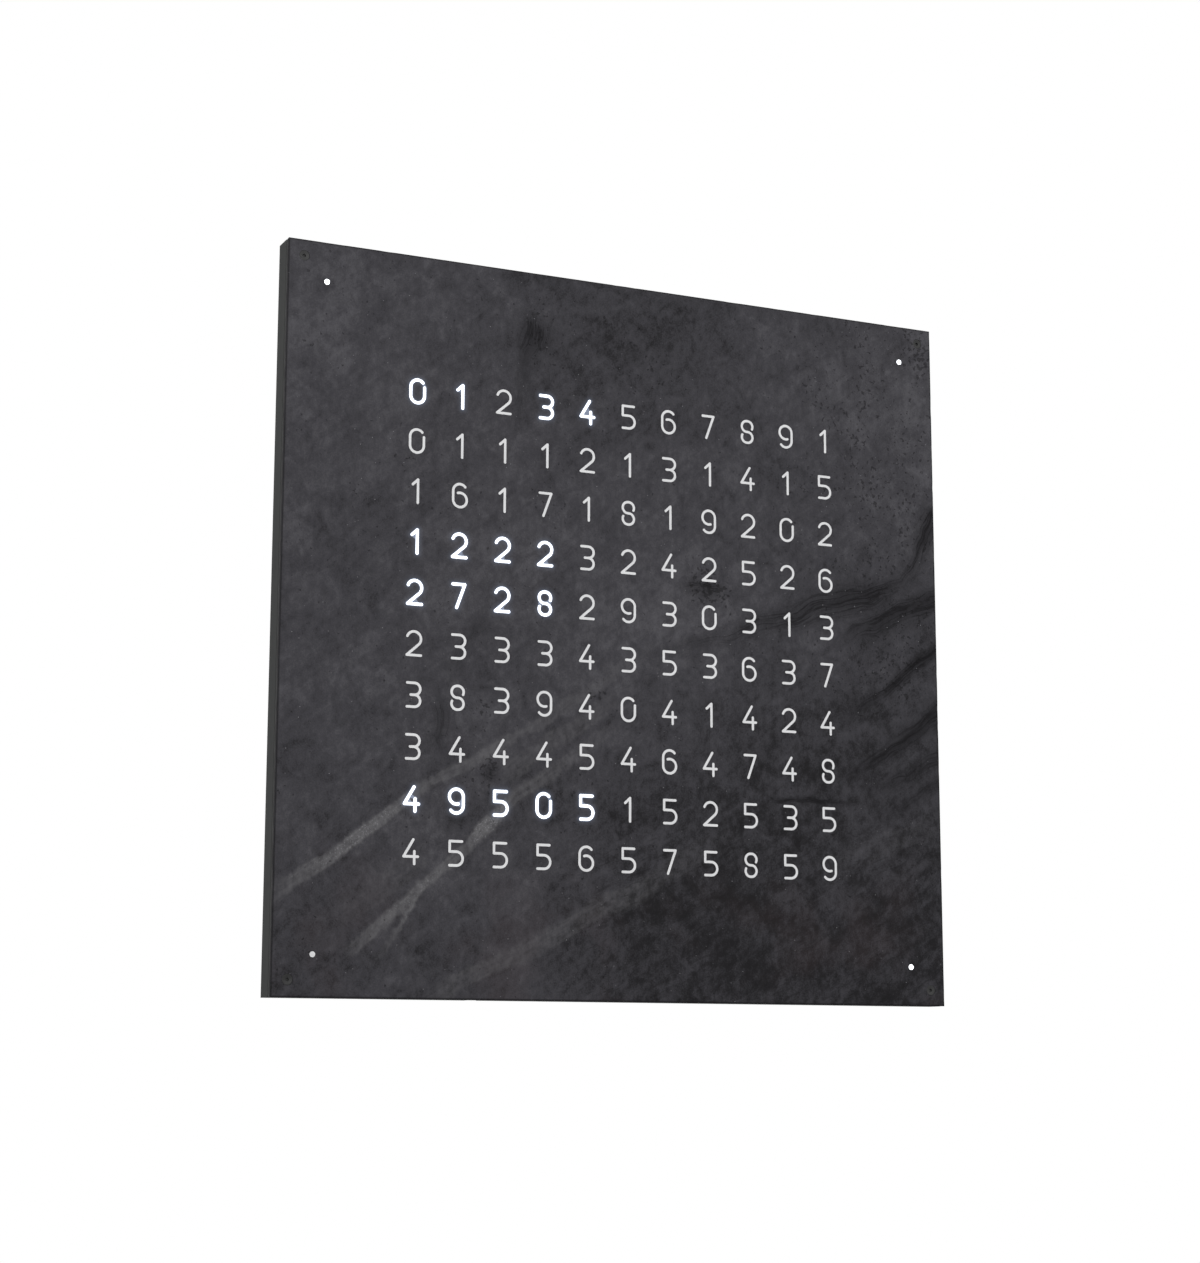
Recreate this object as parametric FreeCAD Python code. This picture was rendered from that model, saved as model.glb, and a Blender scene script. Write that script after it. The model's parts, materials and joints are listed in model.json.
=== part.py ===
import FreeCAD, Part
import math
import os

# Wall clock that shows the time with lit characters in a slate plate
# Millimetres. X runs to the right, Z up and Y into the wall.
# The origin is the centre of the back, on the wall.

# Overall sizes
side_length = 450.0
clock_depth = 20.0

# Front cover
slate_thickness = 3.0
carrier_thickness = 1.5
carrier_setback = 0.2
diffuser_thickness = 1.0
diffuser_gap = 1.5
inlay_gap = 0.05

# Field of numbers
columns = 11
rows = 10
field_margin_x = 69.35
field_margin_z = 70.0
number_width = 10.6
number_height = 16.0
stroke_width = 1.7
stencil_bridge = 1.4
minute_dot_diameter = 3.5
minute_dot_inset = 24.5

# Numerals: shares of half the drawn width or height, and angles in degrees
flag_share = 0.7
flat_share = 0.87
waist_share = 1 / 3
bar_share = 0.4
foot_share = 0.3
shoulder_share = 1 / 7
two_start = 160
hook_angle = 40
eight_gap_angle = 25

# Housing rails
rail_wall = 2.5
lip_width = 12.0
lip_thickness = 1.5
edge_break = 0.4
rear_panel_thickness = 1.2
panel_gap = 0.3
pad_thickness = 1.5
pad_diameter = 12.0
pad_inset = 27.0

# Corner keys and cover magnets
magnet_inset = 10.0
magnet_diameter = 12.0
magnet_thickness = 3.2
magnet_gap = 0.1
pocket_gap = 0.3
key_leg = 40.0
key_wall = 1.5
key_gap = 0.1

# Screws
screw_diameter = 3.0
screw_head_diameter = 5.5
screw_head_height = 1.2
screw_head_edge = 0.4
screw_socket = 2.0
socket_depth = 0.8
thread_gap = 0.05
screw_clearance = 0.3
rear_screw_length = 8.0
rear_screw_corner = 34.0
cover_screw_head = 6.2
cover_screw_sink = 0.2
cover_screw_dish = 0.5
cover_screw_rim = 0.4
tip_gap = 0.5

# Boards, spacers and light chambers
board_thickness = 1.6
board_margin = 14.2
spacer_height = 3.0
spacer_diameter = 6.0
grid_wall = 1.5
grid_gap = 0.3
lug_thickness = 1.5
lug_size = 12.0
lug_offset = 100.0
light_width = 3.5
light_height = 2.8
light_thickness = 1.4
light_lens_diameter = 2.2
light_lens_depth = 0.35
corner_board_size = 16.0
corner_board_shift = 4.5
corner_screw_shift = 4.0
tube_diameter = 8.0
tube_bore = 5.5
lead_diameter = 2.0

# Control board
control_length = 100.0
control_height = 30.0
control_left = 20.0
control_screw_inset = 4.5
chip_size = 12.0
chip_thickness = 1.2
driver_length = 10.0
driver_width = 6.0
driver_offset = 60.0
crystal_length = 11.0
crystal_width = 4.5
crystal_thickness = 3.5
crystal_corner = 1.8
capacitor_diameter = 6.0
capacitor_length = 11.0
socket_length = 16.0
supply_socket_length = 8.0
socket_width = 5.0
socket_thickness = 4.0
ribbon_width = 13.0
ribbon_thickness = 0.9

# Plug bay and power inlet
bay_left = -102.0
bay_length = 72.0
bay_height = 18.0
bay_wall = 1.2
bay_depth = 11.3
spout_width = 8.0
spout_depth = 6.5
spout_inset = 2.0
spout_gap = 0.3
inlet_length = 14.0
inlet_width = 9.0
inlet_thickness = 10.0
inlet_bore = 5.7
inlet_bore_depth = 9.5
inlet_nose = 7.5
pin_diameter = 2.0
pin_length = 8.5
supply_lead_diameter = 1.6
supply_lead_spacing = 4.0

# Wall hangers
hanger_spacing = 240.0
hanger_length = 44.0
hanger_height = 26.0
hanger_thickness = 1.5
hanger_screw_spacing = 34.0
hanger_screw_length = 4.0
keyhole_diameter = 9.0
keyhole_slot = 4.8
keyhole_rise = 9.0
window_border = 3.0

# Buttons on the right-hand side
button_count = 3
button_pitch = 20.0
button_corner_inset = 75.0
button_diameter = 6.0
button_sink = 0.3
button_edge = 0.3
button_travel = 0.8
button_flange = 8.4
button_flange_thickness = 1.0
button_stop_gap = 0.4
running_gap = 0.08
plunger_diameter = 3.2
plunger_engagement = 1.3
plunger_floor_gap = 0.3
switch_size = 6.0
switch_thickness = 3.5
key_board_length = 56.0
key_board_gap = 0.15
key_cable_diameter = 2.4
key_cable_bend = 12.0
key_cable_ramp = 15.0

# Cells of the field that are lit: row, then the columns, both counted from zero
lit_columns = {0: (0, 1, 3, 4), 3: (0, 1, 2, 3), 4: (0, 1, 2, 3), 8: (0, 1, 2, 3, 4)}
unlit_dot = (-1, -1)

# Places that follow from the sizes
half = side_length / 2
front_y = -clock_depth
slate_back_y = front_y + slate_thickness
cover_seat_y = slate_back_y + carrier_thickness
diffuser_back_y = cover_seat_y + diffuser_thickness
rail_back_y = -pad_thickness
panel_inner_y = rail_back_y - rear_panel_thickness
rear_lip_y = panel_inner_y - lip_thickness
front_lip_y = cover_seat_y + lip_thickness
rail_width = rail_wall + lip_width
channel_half = half - rail_wall
mouth_half = half - rail_width
lip_middle = channel_half - lip_width / 2
board_back_y = panel_inner_y - spacer_height
board_front_y = board_back_y - board_thickness
lug_front_y = board_front_y - lug_thickness
grid_front_y = diffuser_back_y + grid_gap
field_half_width = half - field_margin_x
field_half_height = half - field_margin_z
column_pitch = 2 * field_half_width / columns
row_pitch = 2 * field_half_height / rows
light_board_half_x = field_half_width + board_margin
light_board_half_z = field_half_height + board_margin
lug_x = field_half_width + grid_wall / 2 + lug_size / 2
lug_z = field_half_height + grid_wall / 2 + lug_size / 2
dot_place = half - minute_dot_inset
magnet_place = half - magnet_inset
corner_board_place = dot_place - corner_board_shift
corner_screw_place = corner_board_place - corner_screw_shift
margin_z = -(light_board_half_z + mouth_half) / 2
button_y = (rear_lip_y + front_lip_y) / 2
button_lowest = button_corner_inset - half
screw_radius = screw_diameter / 2
clear_radius = screw_radius + screw_clearance
tapped_radius = screw_radius + thread_gap
number_text = "".join(str(number) for number in range(60))


# Basic shapes

def point(x, y, z):
    return FreeCAD.Vector(x, y, z)


def box(x0, x1, y0, y1, z0, z1):
    corner = point(min(x0, x1), min(y0, y1), min(z0, z1))
    return Part.makeBox(abs(x1 - x0), abs(y1 - y0), abs(z1 - z0), corner)


def rod(x, z, y0, y1, radius):
    return Part.makeCylinder(radius, abs(y1 - y0), point(x, min(y0, y1), z), point(0, 1, 0))


def rod_x(y, z, x0, x1, radius):
    return Part.makeCylinder(radius, abs(x1 - x0), point(min(x0, x1), y, z), point(1, 0, 0))


def rectangle(x0, x1, z0, z1):
    corners = [point(x0, 0, z0), point(x1, 0, z0), point(x1, 0, z1), point(x0, 0, z1)]
    return Part.makePolygon(corners + [corners[0]])


def polygon(corners):
    return Part.Face(Part.makePolygon(corners + [corners[0]]))


def turned(shape, quarters):
    copy = shape.copy()
    copy.rotate(point(0, 0, 0), point(0, 1, 0), 90 * quarters)
    return copy


def four_corners(shape):
    return [turned(shape, quarters) for quarters in range(4)]


def moved(shape, x=0.0, y=0.0, z=0.0):
    copy = shape.copy()
    copy.translate(point(x, y, z))
    return copy


def write(name, shapes):
    solids = shapes if isinstance(shapes, list) else [shapes]
    result = solids[0] if len(solids) == 1 else Part.makeCompound(solids)
    result.exportStep("parts/" + name + ".step")
    return result


def hexagon(across_flats, y0, y1):
    reach = across_flats / math.sqrt(3)
    corners = [
        point(reach * math.cos(math.radians(60 * i)), y0, reach * math.sin(math.radians(60 * i)))
        for i in range(6)
    ]
    return polygon(corners).extrude(point(0, y1 - y0, 0))


# A pan head screw on the Y axis, its head towards the wall (1) or the front (-1) from head_y

def pan_screw(x, z, head_y, length, towards):
    top = head_y + towards * screw_head_height
    head = rod(0, 0, head_y, top, screw_head_diameter / 2)
    rim = head.Edges[0] if abs(head.Edges[0].CenterOfMass.y - top) < thread_gap else head.Edges[2]
    head = head.makeChamfer(screw_head_edge, [rim])
    shank = rod(0, 0, head_y - towards * length, head_y, screw_radius)
    drive = hexagon(screw_socket, top, top - towards * socket_depth)
    return moved(head.fuse(shank).removeSplitter().cut(drive), x=x, z=z)


# A tube along a path of points, with arcs of one radius at its turns

def rounded_path(points, radius):
    edges = []
    start = points[0]
    for before, corner, after in zip(points, points[1:], points[2:]):
        back = (before - corner).normalize()
        ahead = (after - corner).normalize()
        half_angle = back.getAngle(ahead) / 2
        reach = radius / math.tan(half_angle)
        first = corner + back * reach
        last = corner + ahead * reach
        inward = (back + ahead).normalize()
        middle = corner + inward * (radius / math.sin(half_angle) - radius)
        edges.append(Part.LineSegment(start, first).toShape())
        edges.append(Part.Arc(first, middle, last).toShape())
        start = last
    edges.append(Part.LineSegment(start, points[-1]).toShape())
    return Part.Wire(edges)


def tube(points, diameter, bend):
    path = rounded_path(points, bend)
    direction = (points[1] - points[0]).normalize()
    ring = Part.Wire(Part.makeCircle(diameter / 2, points[0], direction))
    return path.makePipeShell([ring], True, False)


# Numerals drawn with one pen width, and open like a stencil so that no piece of stone is loose

class Pen:
    def __init__(self, x, z):
        self.here = point(x, 0, z)
        self.edges = []

    def line(self, x, z):
        end = point(x, 0, z)
        self.edges.append(Part.LineSegment(self.here, end).toShape())
        self.here = end
        return self

    def turn(self, centre_x, centre_z, degrees):
        centre = point(centre_x, 0, centre_z)
        arm = self.here - centre
        spin = FreeCAD.Rotation(point(0, -1, 0), degrees / 2)
        middle = centre + spin.multVec(arm)
        end = centre + spin.multVec(spin.multVec(arm))
        self.edges.append(Part.Arc(self.here, middle, end).toShape())
        self.here = end
        return self


def numeral_strokes(numeral):
    a = (number_width - stroke_width) / 2
    b = (number_height - stroke_width) / 2
    bowl = b - a
    opening = stroke_width + stencil_bridge
    flat = flat_share * a
    if numeral == "0":
        tilt = math.degrees(2 * math.asin(opening / 2 / a))
        pen = Pen(a, bowl).line(a, -bowl).turn(0, -bowl, -180).line(-a, bowl)
        return [pen.turn(0, bowl, tilt - 180)]
    if numeral == "1":
        return [Pen(-a / 2, b - flag_share * a).line(a / 4, b).line(a / 4, -b)]
    if numeral == "2":
        reach = math.hypot(a, b + bowl)
        touch = math.degrees(math.atan2(-b - bowl, -a) + math.acos(a / reach))
        start = math.radians(two_start)
        pen = Pen(a * math.cos(start), bowl + a * math.sin(start))
        return [pen.turn(0, bowl, touch - two_start).line(-a, -b).line(a, -b)]
    if numeral == "3":
        r = b / 2
        waist = -waist_share * a
        top = Pen(-flat, b).line(a - r, b).turn(a - r, r, -180).line(waist, 0)
        foot = Pen(waist, 0).line(a - r, 0).turn(a - r, -r, -180).line(-flat, -b)
        return [top, foot]
    if numeral == "4":
        bar = -bar_share * b
        stem = a / 2
        slope = Pen(waist_share * a, b).line(-a, bar).line(a, bar)
        return [slope, Pen(stem, bar + opening).line(stem, -b)]
    if numeral == "5":
        shoulder = shoulder_share * b
        r = (b + shoulder) / 2
        pen = Pen(flat, b).line(-flat, b).line(-flat, shoulder).line(a - r, shoulder)
        return [pen.turn(a - r, shoulder - r, -180).line(-flat, -b)]
    if numeral in "69":
        sign = 1 if numeral == "6" else -1
        hook = math.radians(hook_angle)
        close = math.degrees(math.acos((opening - a) / a))
        pen = Pen(sign * a * math.cos(hook), sign * (bowl + a * math.sin(hook)))
        pen.turn(0, sign * bowl, 180 - hook_angle).line(-sign * a, -sign * bowl)
        return [pen.turn(0, -sign * bowl, 180 + close)]
    if numeral == "7":
        return [Pen(-flat, b).line(flat, b).line(-foot_share * a, -b)]
    r = b / 2
    middle = flat - r
    start = math.radians(-eight_gap_angle)
    pen = Pen(middle + r * math.cos(start), r + r * math.sin(start))
    pen.turn(middle, r, 90 + eight_gap_angle).line(-middle, b).turn(-middle, r, 180).line(middle, 0)
    return [pen.turn(middle, -r, -180).line(-middle, -b).turn(-middle, -r, -90 - eight_gap_angle)]


def straight_stroke(edge, width):
    start = edge.Vertexes[0].Point
    end = edge.Vertexes[-1].Point
    along = (end - start).normalize()
    across = point(along.z, 0, -along.x) * (width / 2)
    ahead = along * (width / 2)
    edges = [
        Part.LineSegment(start + across, end + across).toShape(),
        Part.Arc(end + across, end + ahead, end - across).toShape(),
        Part.LineSegment(end - across, start - across).toShape(),
        Part.Arc(start - across, start - ahead, start + across).toShape(),
    ]
    return Part.Face(Part.Wire(edges))


def numeral_face(numeral, width):
    faces = []
    for pen in numeral_strokes(numeral):
        if len(pen.edges) == 1:
            face = straight_stroke(pen.edges[0], width)
        else:
            face = Part.Face(Part.Wire(pen.edges).makeOffset2D(width / 2, 0, False, False))
        if face.normalAt(0, 0).y > 0:
            face.reverse()
        faces.append(face)
    face = faces[0]
    for other in faces[1:]:
        face = face.fuse(other).removeSplitter()
    return face.Faces[0]


def cell_centre(row, column):
    x = (column - (columns - 1) / 2) * column_pitch
    z = ((rows - 1) / 2 - row) * row_pitch
    return x, z


def is_lit(row, column):
    return column in lit_columns.get(row, ())


def field(width):
    outlines = {numeral: numeral_face(numeral, width) for numeral in "0123456789"}
    lit = []
    unlit = []
    for index, numeral in enumerate(number_text[: rows * columns]):
        row, column = divmod(index, columns)
        x, z = cell_centre(row, column)
        (lit if is_lit(row, column) else unlit).append(moved(outlines[numeral], x=x, z=z))
    return lit, unlit


def dots(diameter):
    lit = []
    unlit = []
    for sign_x in (-1, 1):
        for sign_z in (-1, 1):
            centre = point(sign_x * dot_place, 0, sign_z * dot_place)
            face = Part.Face(Part.Wire(Part.makeCircle(diameter / 2, centre, point(0, 1, 0))))
            (unlit if (sign_x, sign_z) == unlit_dot else lit).append(face)
    return lit, unlit


# Front cover: slate on a metal carrier, with poured number inlays and a diffuser behind

def cut_plate(size, y0, y1, cuts):
    outline = rectangle(-size / 2, size / 2, -size / 2, size / 2)
    face = Part.makeFace([outline] + [cut.OuterWire for cut in cuts], "Part::FaceMakerBullseye")
    return moved(face.extrude(point(0, y1 - y0, 0)), y=y0)


def inlays(faces, y0, y1):
    return [moved(face.extrude(point(0, y1 - y0, 0)), y=y0) for face in faces]


def screw_profile(grow):
    head = cover_screw_head / 2 + grow
    shank = screw_radius + grow
    flat = cover_screw_rim + grow
    return [point(0, 0, 0), point(head, 0, 0), point(head, flat, 0), point(shank, flat + head - shank, 0)]


def cover_screw():
    length = slate_thickness + carrier_thickness + magnet_thickness - cover_screw_sink - tip_gap
    rim, cone_top, cone_foot = screw_profile(0)[1:]
    inner_rim = point(rim.x - cover_screw_rim, 0, 0)
    bottom = point(0, cover_screw_dish, 0)
    chord = inner_rim.x / math.sqrt(2)
    dish_radius = (inner_rim.x ** 2 + cover_screw_dish ** 2) / (2 * cover_screw_dish)
    dish_middle = cover_screw_dish - dish_radius + math.sqrt(dish_radius ** 2 - chord ** 2)
    edges = [
        Part.Arc(bottom, point(chord, dish_middle, 0), inner_rim).toShape(),
        Part.LineSegment(inner_rim, rim).toShape(),
        Part.LineSegment(rim, cone_top).toShape(),
        Part.LineSegment(cone_top, cone_foot).toShape(),
        Part.LineSegment(cone_foot, point(cone_foot.x, length, 0)).toShape(),
        Part.LineSegment(point(cone_foot.x, length, 0), point(0, length, 0)).toShape(),
        Part.LineSegment(point(0, length, 0), bottom).toShape(),
    ]
    body = Part.Face(Part.Wire(edges)).revolve(point(0, 0, 0), point(0, 1, 0), 360)
    drive = hexagon(screw_socket, 0, cover_screw_dish + socket_depth)
    body = body.cut(drive)
    return moved(body, x=magnet_place, y=front_y + cover_screw_sink, z=magnet_place)


def countersink():
    grow = screw_clearance / 2
    axis, rim, cone_top, cone_foot = screw_profile(grow)
    cone = polygon([axis, rim, cone_top, cone_foot, point(0, cone_foot.y, 0)])
    cone = cone.revolve(point(0, 0, 0), point(0, 1, 0), 360)
    mouth = rod(0, 0, -cover_screw_sink, 0, rim.x)
    shank = rod(0, 0, 0, slate_thickness + carrier_thickness, cone_foot.x)
    hole = cone.fuse(mouth).fuse(shank)
    return moved(hole, x=magnet_place, y=front_y + cover_screw_sink, z=magnet_place)


def build_cover():
    cut_lit, cut_unlit = field(stroke_width)
    dot_lit, dot_unlit = dots(minute_dot_diameter)
    cuts = cut_lit + cut_unlit + dot_lit + dot_unlit
    sinks = four_corners(countersink())
    slate = cut_plate(side_length, front_y, slate_back_y, cuts)
    carrier = cut_plate(side_length - 2 * carrier_setback, slate_back_y, cover_seat_y, cuts)
    for sink in sinks:
        slate = slate.cut(sink)
        carrier = carrier.cut(sink)
    write("slate_plate", slate)
    write("carrier_plate", carrier)

    inlay_lit, inlay_unlit = field(stroke_width - 2 * inlay_gap)
    fill_lit, fill_unlit = dots(minute_dot_diameter - 2 * inlay_gap)
    write("number_inlays_lit", inlays(inlay_lit, front_y, cover_seat_y))
    write("number_inlays_unlit", inlays(inlay_unlit, front_y, cover_seat_y))
    write("minute_inlays_lit", inlays(fill_lit, front_y, cover_seat_y))
    write("minute_inlay_unlit", inlays(fill_unlit, front_y, cover_seat_y))

    edge = mouth_half - diffuser_gap
    write("diffuser_sheet", box(-edge, edge, cover_seat_y, diffuser_back_y, -edge, edge))

    magnet_back_y = cover_seat_y + magnet_thickness
    magnet = rod(magnet_place, magnet_place, cover_seat_y, magnet_back_y, magnet_diameter / 2)
    magnet = magnet.cut(rod(magnet_place, magnet_place, cover_seat_y, magnet_back_y, tapped_radius))
    write("cover_magnets", four_corners(magnet))
    write("cover_screws", four_corners(cover_screw()))


# Housing: four mitred rails joined by steel corner keys, closed by a rear panel

def rear_screw_places():
    along = half - rear_screw_corner
    top = [(-along, lip_middle), (0.0, lip_middle), (along, lip_middle)]
    right = [(z, -x) for x, z in top]
    bottom = [(-x, -z) for x, z in top]
    left = [(-z, x) for x, z in top]
    return top + right + bottom + left


def spout_box(reach, y0, y1, z0, z1):
    middle = bay_left + spout_inset + spout_width / 2
    return box(middle - reach, middle + reach, y0, y1, z0, z1)


def top_rail():
    inner = half - rail_width
    outline = [
        point(-half, rail_back_y, half - edge_break),
        point(-half, rail_back_y - edge_break, half),
        point(-half, cover_seat_y + edge_break, half),
        point(-half, cover_seat_y, half - edge_break),
        point(-half, cover_seat_y, inner),
        point(-half, front_lip_y, inner),
        point(-half, front_lip_y, channel_half),
        point(-half, rear_lip_y, channel_half),
        point(-half, rear_lip_y, inner),
        point(-half, panel_inner_y, inner),
        point(-half, panel_inner_y, channel_half),
        point(-half, rail_back_y, channel_half),
    ]
    bar = polygon(outline).extrude(point(side_length, 0, 0))
    plan = polygon([
        point(-half, cover_seat_y, half),
        point(half, cover_seat_y, half),
        point(inner, cover_seat_y, inner),
        point(-inner, cover_seat_y, inner),
    ])
    return bar.common(plan.extrude(point(0, rail_back_y - cover_seat_y, 0)))


def build_rails():
    pocket = rod(magnet_place, magnet_place, cover_seat_y, front_lip_y, magnet_diameter / 2 + pocket_gap)
    holes = four_corners(pocket)
    holes += [rod(x, z, panel_inner_y, rear_lip_y, tapped_radius) for x, z in rear_screw_places()]
    rails = [turned(top_rail(), quarters) for quarters in range(4)]
    for index, name in enumerate(("top_rail", "right_rail", "bottom_rail", "left_rail")):
        rail = rails[index]
        for hole in holes:
            if rail.BoundBox.intersect(hole.BoundBox):
                rail = rail.cut(hole)
        if name == "right_rail":
            for z in button_places():
                rail = rail.cut(rod_x(button_y, z, channel_half, half, button_diameter / 2 + running_gap))
        if name == "bottom_rail":
            inside = spout_width / 2
            outside = inside + bay_wall + spout_gap
            rail = rail.cut(spout_box(inside, rail_back_y, rail_back_y - spout_depth, -half, -channel_half))
            rail = rail.cut(spout_box(outside, panel_inner_y, rear_lip_y, -channel_half, -mouth_half))
        write(name, rail)


def corner_key():
    outer = channel_half - key_gap
    start = half - key_leg
    width = lip_width - key_gap
    y0 = front_lip_y + key_gap
    y1 = rear_lip_y - key_gap
    block_edge = magnet_place - magnet_diameter / 2 - pocket_gap - key_wall
    chamfer_reach = (magnet_diameter / 2 + pocket_gap + key_wall) * math.sqrt(2)
    chamfer = 2 * (magnet_place - block_edge) - chamfer_reach
    leg_x = box(start, outer, y0, y1, outer - width, outer)
    leg_z = box(outer - width, outer, y0, y1, start, outer)
    block = polygon([
        point(block_edge + chamfer, y0, block_edge),
        point(outer, y0, block_edge),
        point(outer, y0, outer),
        point(block_edge, y0, outer),
        point(block_edge, y0, block_edge + chamfer),
    ]).extrude(point(0, y1 - y0, 0))
    key = leg_x.fuse(leg_z).fuse(block).removeSplitter()
    pocket_floor = cover_seat_y + magnet_thickness + magnet_gap
    key = key.cut(rod(magnet_place, magnet_place, y0, pocket_floor, magnet_diameter / 2 + pocket_gap))
    tip = rail_back_y - rear_screw_length - tip_gap
    along = half - rear_screw_corner
    for x, z in ((along, lip_middle), (lip_middle, along)):
        key = key.cut(rod(x, z, tip, y1, tapped_radius))
    return key


def hanger_places():
    z = (light_board_half_z + mouth_half) / 2
    return [(-hanger_spacing / 2, z), (hanger_spacing / 2, z)]


def keyhole(x, z, grow, y0, y1):
    radius = keyhole_diameter / 2 + grow
    slot = keyhole_slot / 2 + grow
    low = z - keyhole_rise / 2
    high = z + keyhole_rise / 2
    shape = rod(x, low, y0, y1, radius)
    shape = shape.fuse(box(x - slot, x + slot, y0, y1, low, high))
    return shape.fuse(rod(x, high, y0, y1, slot))


def build_rear_panel():
    edge = channel_half - panel_gap
    panel = box(-edge, edge, panel_inner_y, rail_back_y, -edge, edge)
    for x, z in rear_screw_places():
        panel = panel.cut(rod(x, z, panel_inner_y, rail_back_y, clear_radius))
    for x, z in hanger_places():
        wide = keyhole_diameter / 2 + window_border
        low = z - keyhole_rise / 2 - wide
        high = z + keyhole_rise / 2 + keyhole_slot / 2 + window_border
        panel = panel.cut(box(x - wide, x + wide, panel_inner_y, rail_back_y, low, high))
        for side in (-1, 1):
            place = x + side * hanger_screw_spacing / 2
            panel = panel.cut(rod(place, z, panel_inner_y, rail_back_y, clear_radius))
    low = margin_z - bay_height / 2
    bay_right = bay_left + bay_length
    panel = panel.cut(box(bay_left, bay_right, panel_inner_y, rail_back_y, low, low + bay_height))
    panel = panel.cut(spout_box(spout_width / 2, panel_inner_y, rail_back_y, -edge, low))
    write("rear_panel", panel)


def build_hangers():
    plates = []
    screws = []
    for x, z in hanger_places():
        plate = box(
            x - hanger_length / 2, x + hanger_length / 2,
            panel_inner_y - hanger_thickness, panel_inner_y,
            z - hanger_height / 2, z + hanger_height / 2,
        )
        plate = plate.cut(keyhole(x, z, 0, panel_inner_y - hanger_thickness, panel_inner_y))
        for side in (-1, 1):
            place = x + side * hanger_screw_spacing / 2
            plate = plate.cut(rod(place, z, panel_inner_y - hanger_thickness, panel_inner_y, tapped_radius))
            screws.append(pan_screw(place, z, rail_back_y, hanger_screw_length, 1))
        plates.append(plate)
    write("hanger_plates", plates)
    write("hanger_screws", screws)


def build_housing():
    build_rails()
    write("corner_keys", four_corners(corner_key()))
    build_rear_panel()
    screws = [pan_screw(x, z, rail_back_y, rear_screw_length, 1) for x, z in rear_screw_places()]
    write("rear_screws", screws)
    build_hangers()
    pad = rod(half - pad_inset, half - pad_inset, rail_back_y, 0, pad_diameter / 2)
    write("wall_pads", four_corners(pad))


# Light board with one source behind each number, and the grid that keeps their light apart

def lug_places():
    sides = [(sign * lug_x, other * lug_offset) for sign in (-1, 1) for other in (-1, 1)]
    ends = [(sign * lug_offset, other * lug_z) for sign in (-1, 1) for other in (-1, 1)]
    return sides + ends


def control_screw_places():
    return [
        (x, margin_z + sign * (control_height / 2 - control_screw_inset))
        for x in (control_left + control_screw_inset, control_left + control_length - control_screw_inset)
        for sign in (-1, 1)
    ]


def corner_screw_places():
    place = corner_screw_place
    return [(place, place), (place, -place), (-place, place), (-place, -place)]


def board(x0, x1, z0, z1, screw_places):
    plate = box(x0, x1, board_front_y, board_back_y, z0, z1)
    for x, z in screw_places:
        plate = plate.cut(rod(x, z, board_front_y, board_back_y, clear_radius))
    return plate


def light_source(x, z):
    shape = box(
        x - light_width / 2, x + light_width / 2,
        board_front_y - light_thickness, board_front_y,
        z - light_height / 2, z + light_height / 2,
    )
    face_y = board_front_y - light_thickness
    return shape.cut(rod(x, z, face_y, face_y + light_lens_depth, light_lens_diameter / 2))


def light_grid():
    walls = grid_wall / 2
    edge_x = field_half_width + walls
    edge_z = field_half_height + walls
    wires = [rectangle(-edge_x, edge_x, -edge_z, edge_z)]
    for row in range(rows):
        for column in range(columns):
            x, z = cell_centre(row, column)
            dx = column_pitch / 2 - walls
            dz = row_pitch / 2 - walls
            wires.append(rectangle(x - dx, x + dx, z - dz, z + dz))
    face = Part.makeFace(wires, "Part::FaceMakerBullseye")
    grid = moved(face.extrude(point(0, board_front_y - grid_front_y, 0)), y=grid_front_y)
    for x, z in lug_places():
        reach = lug_size / 2
        lug = box(x - reach, x + reach, lug_front_y, board_front_y, z - reach, z + reach)
        grid = grid.fuse(lug.cut(rod(x, z, lug_front_y, board_front_y, clear_radius)))
    return grid.removeSplitter()


def corner_light_tube():
    middle = corner_board_place
    reach = corner_board_size / 2
    foot = box(middle - reach, middle + reach, lug_front_y, board_front_y, middle - reach, middle + reach)
    barrel = rod(dot_place, dot_place, grid_front_y, board_front_y, tube_diameter / 2)
    shape = foot.fuse(barrel).removeSplitter()
    shape = shape.cut(rod(dot_place, dot_place, grid_front_y, board_front_y, tube_bore / 2))
    return shape.cut(rod(corner_screw_place, corner_screw_place, lug_front_y, board_front_y, clear_radius))


def build_lights():
    edge_x = light_board_half_x
    edge_z = light_board_half_z
    write("light_board", board(-edge_x, edge_x, -edge_z, edge_z, lug_places()))
    lit = []
    unlit = []
    for row in range(rows):
        for column in range(columns):
            x, z = cell_centre(row, column)
            (lit if is_lit(row, column) else unlit).append(light_source(x, z))
    write("number_lights_lit", lit)
    write("number_lights_unlit", unlit)
    write("light_grid", light_grid())

    low = corner_board_place - corner_board_size / 2
    high = corner_board_place + corner_board_size / 2
    corner = board(low, high, low, high, [(corner_screw_place, corner_screw_place)])
    write("corner_boards", four_corners(corner))
    write("corner_light_tubes", four_corners(corner_light_tube()))
    write("corner_lights", four_corners(light_source(dot_place, dot_place)))

    start_x = light_board_half_x - lead_diameter
    start_z = light_board_half_z - lead_diameter
    y = board_front_y - lead_diameter / 2
    leads = []
    for sign_x in (-1, 1):
        for sign_z in (-1, 1):
            begin = point(sign_x * (start_x - board_margin / 2), y, sign_z * (start_z - board_margin / 2))
            end = point(sign_x * low, y, sign_z * low)
            leads.append(Part.makeCylinder(lead_diameter / 2, (end - begin).Length, begin, end - begin))
    write("corner_leads", leads)


# Spacers stand on the rear panel and carry every board

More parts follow.
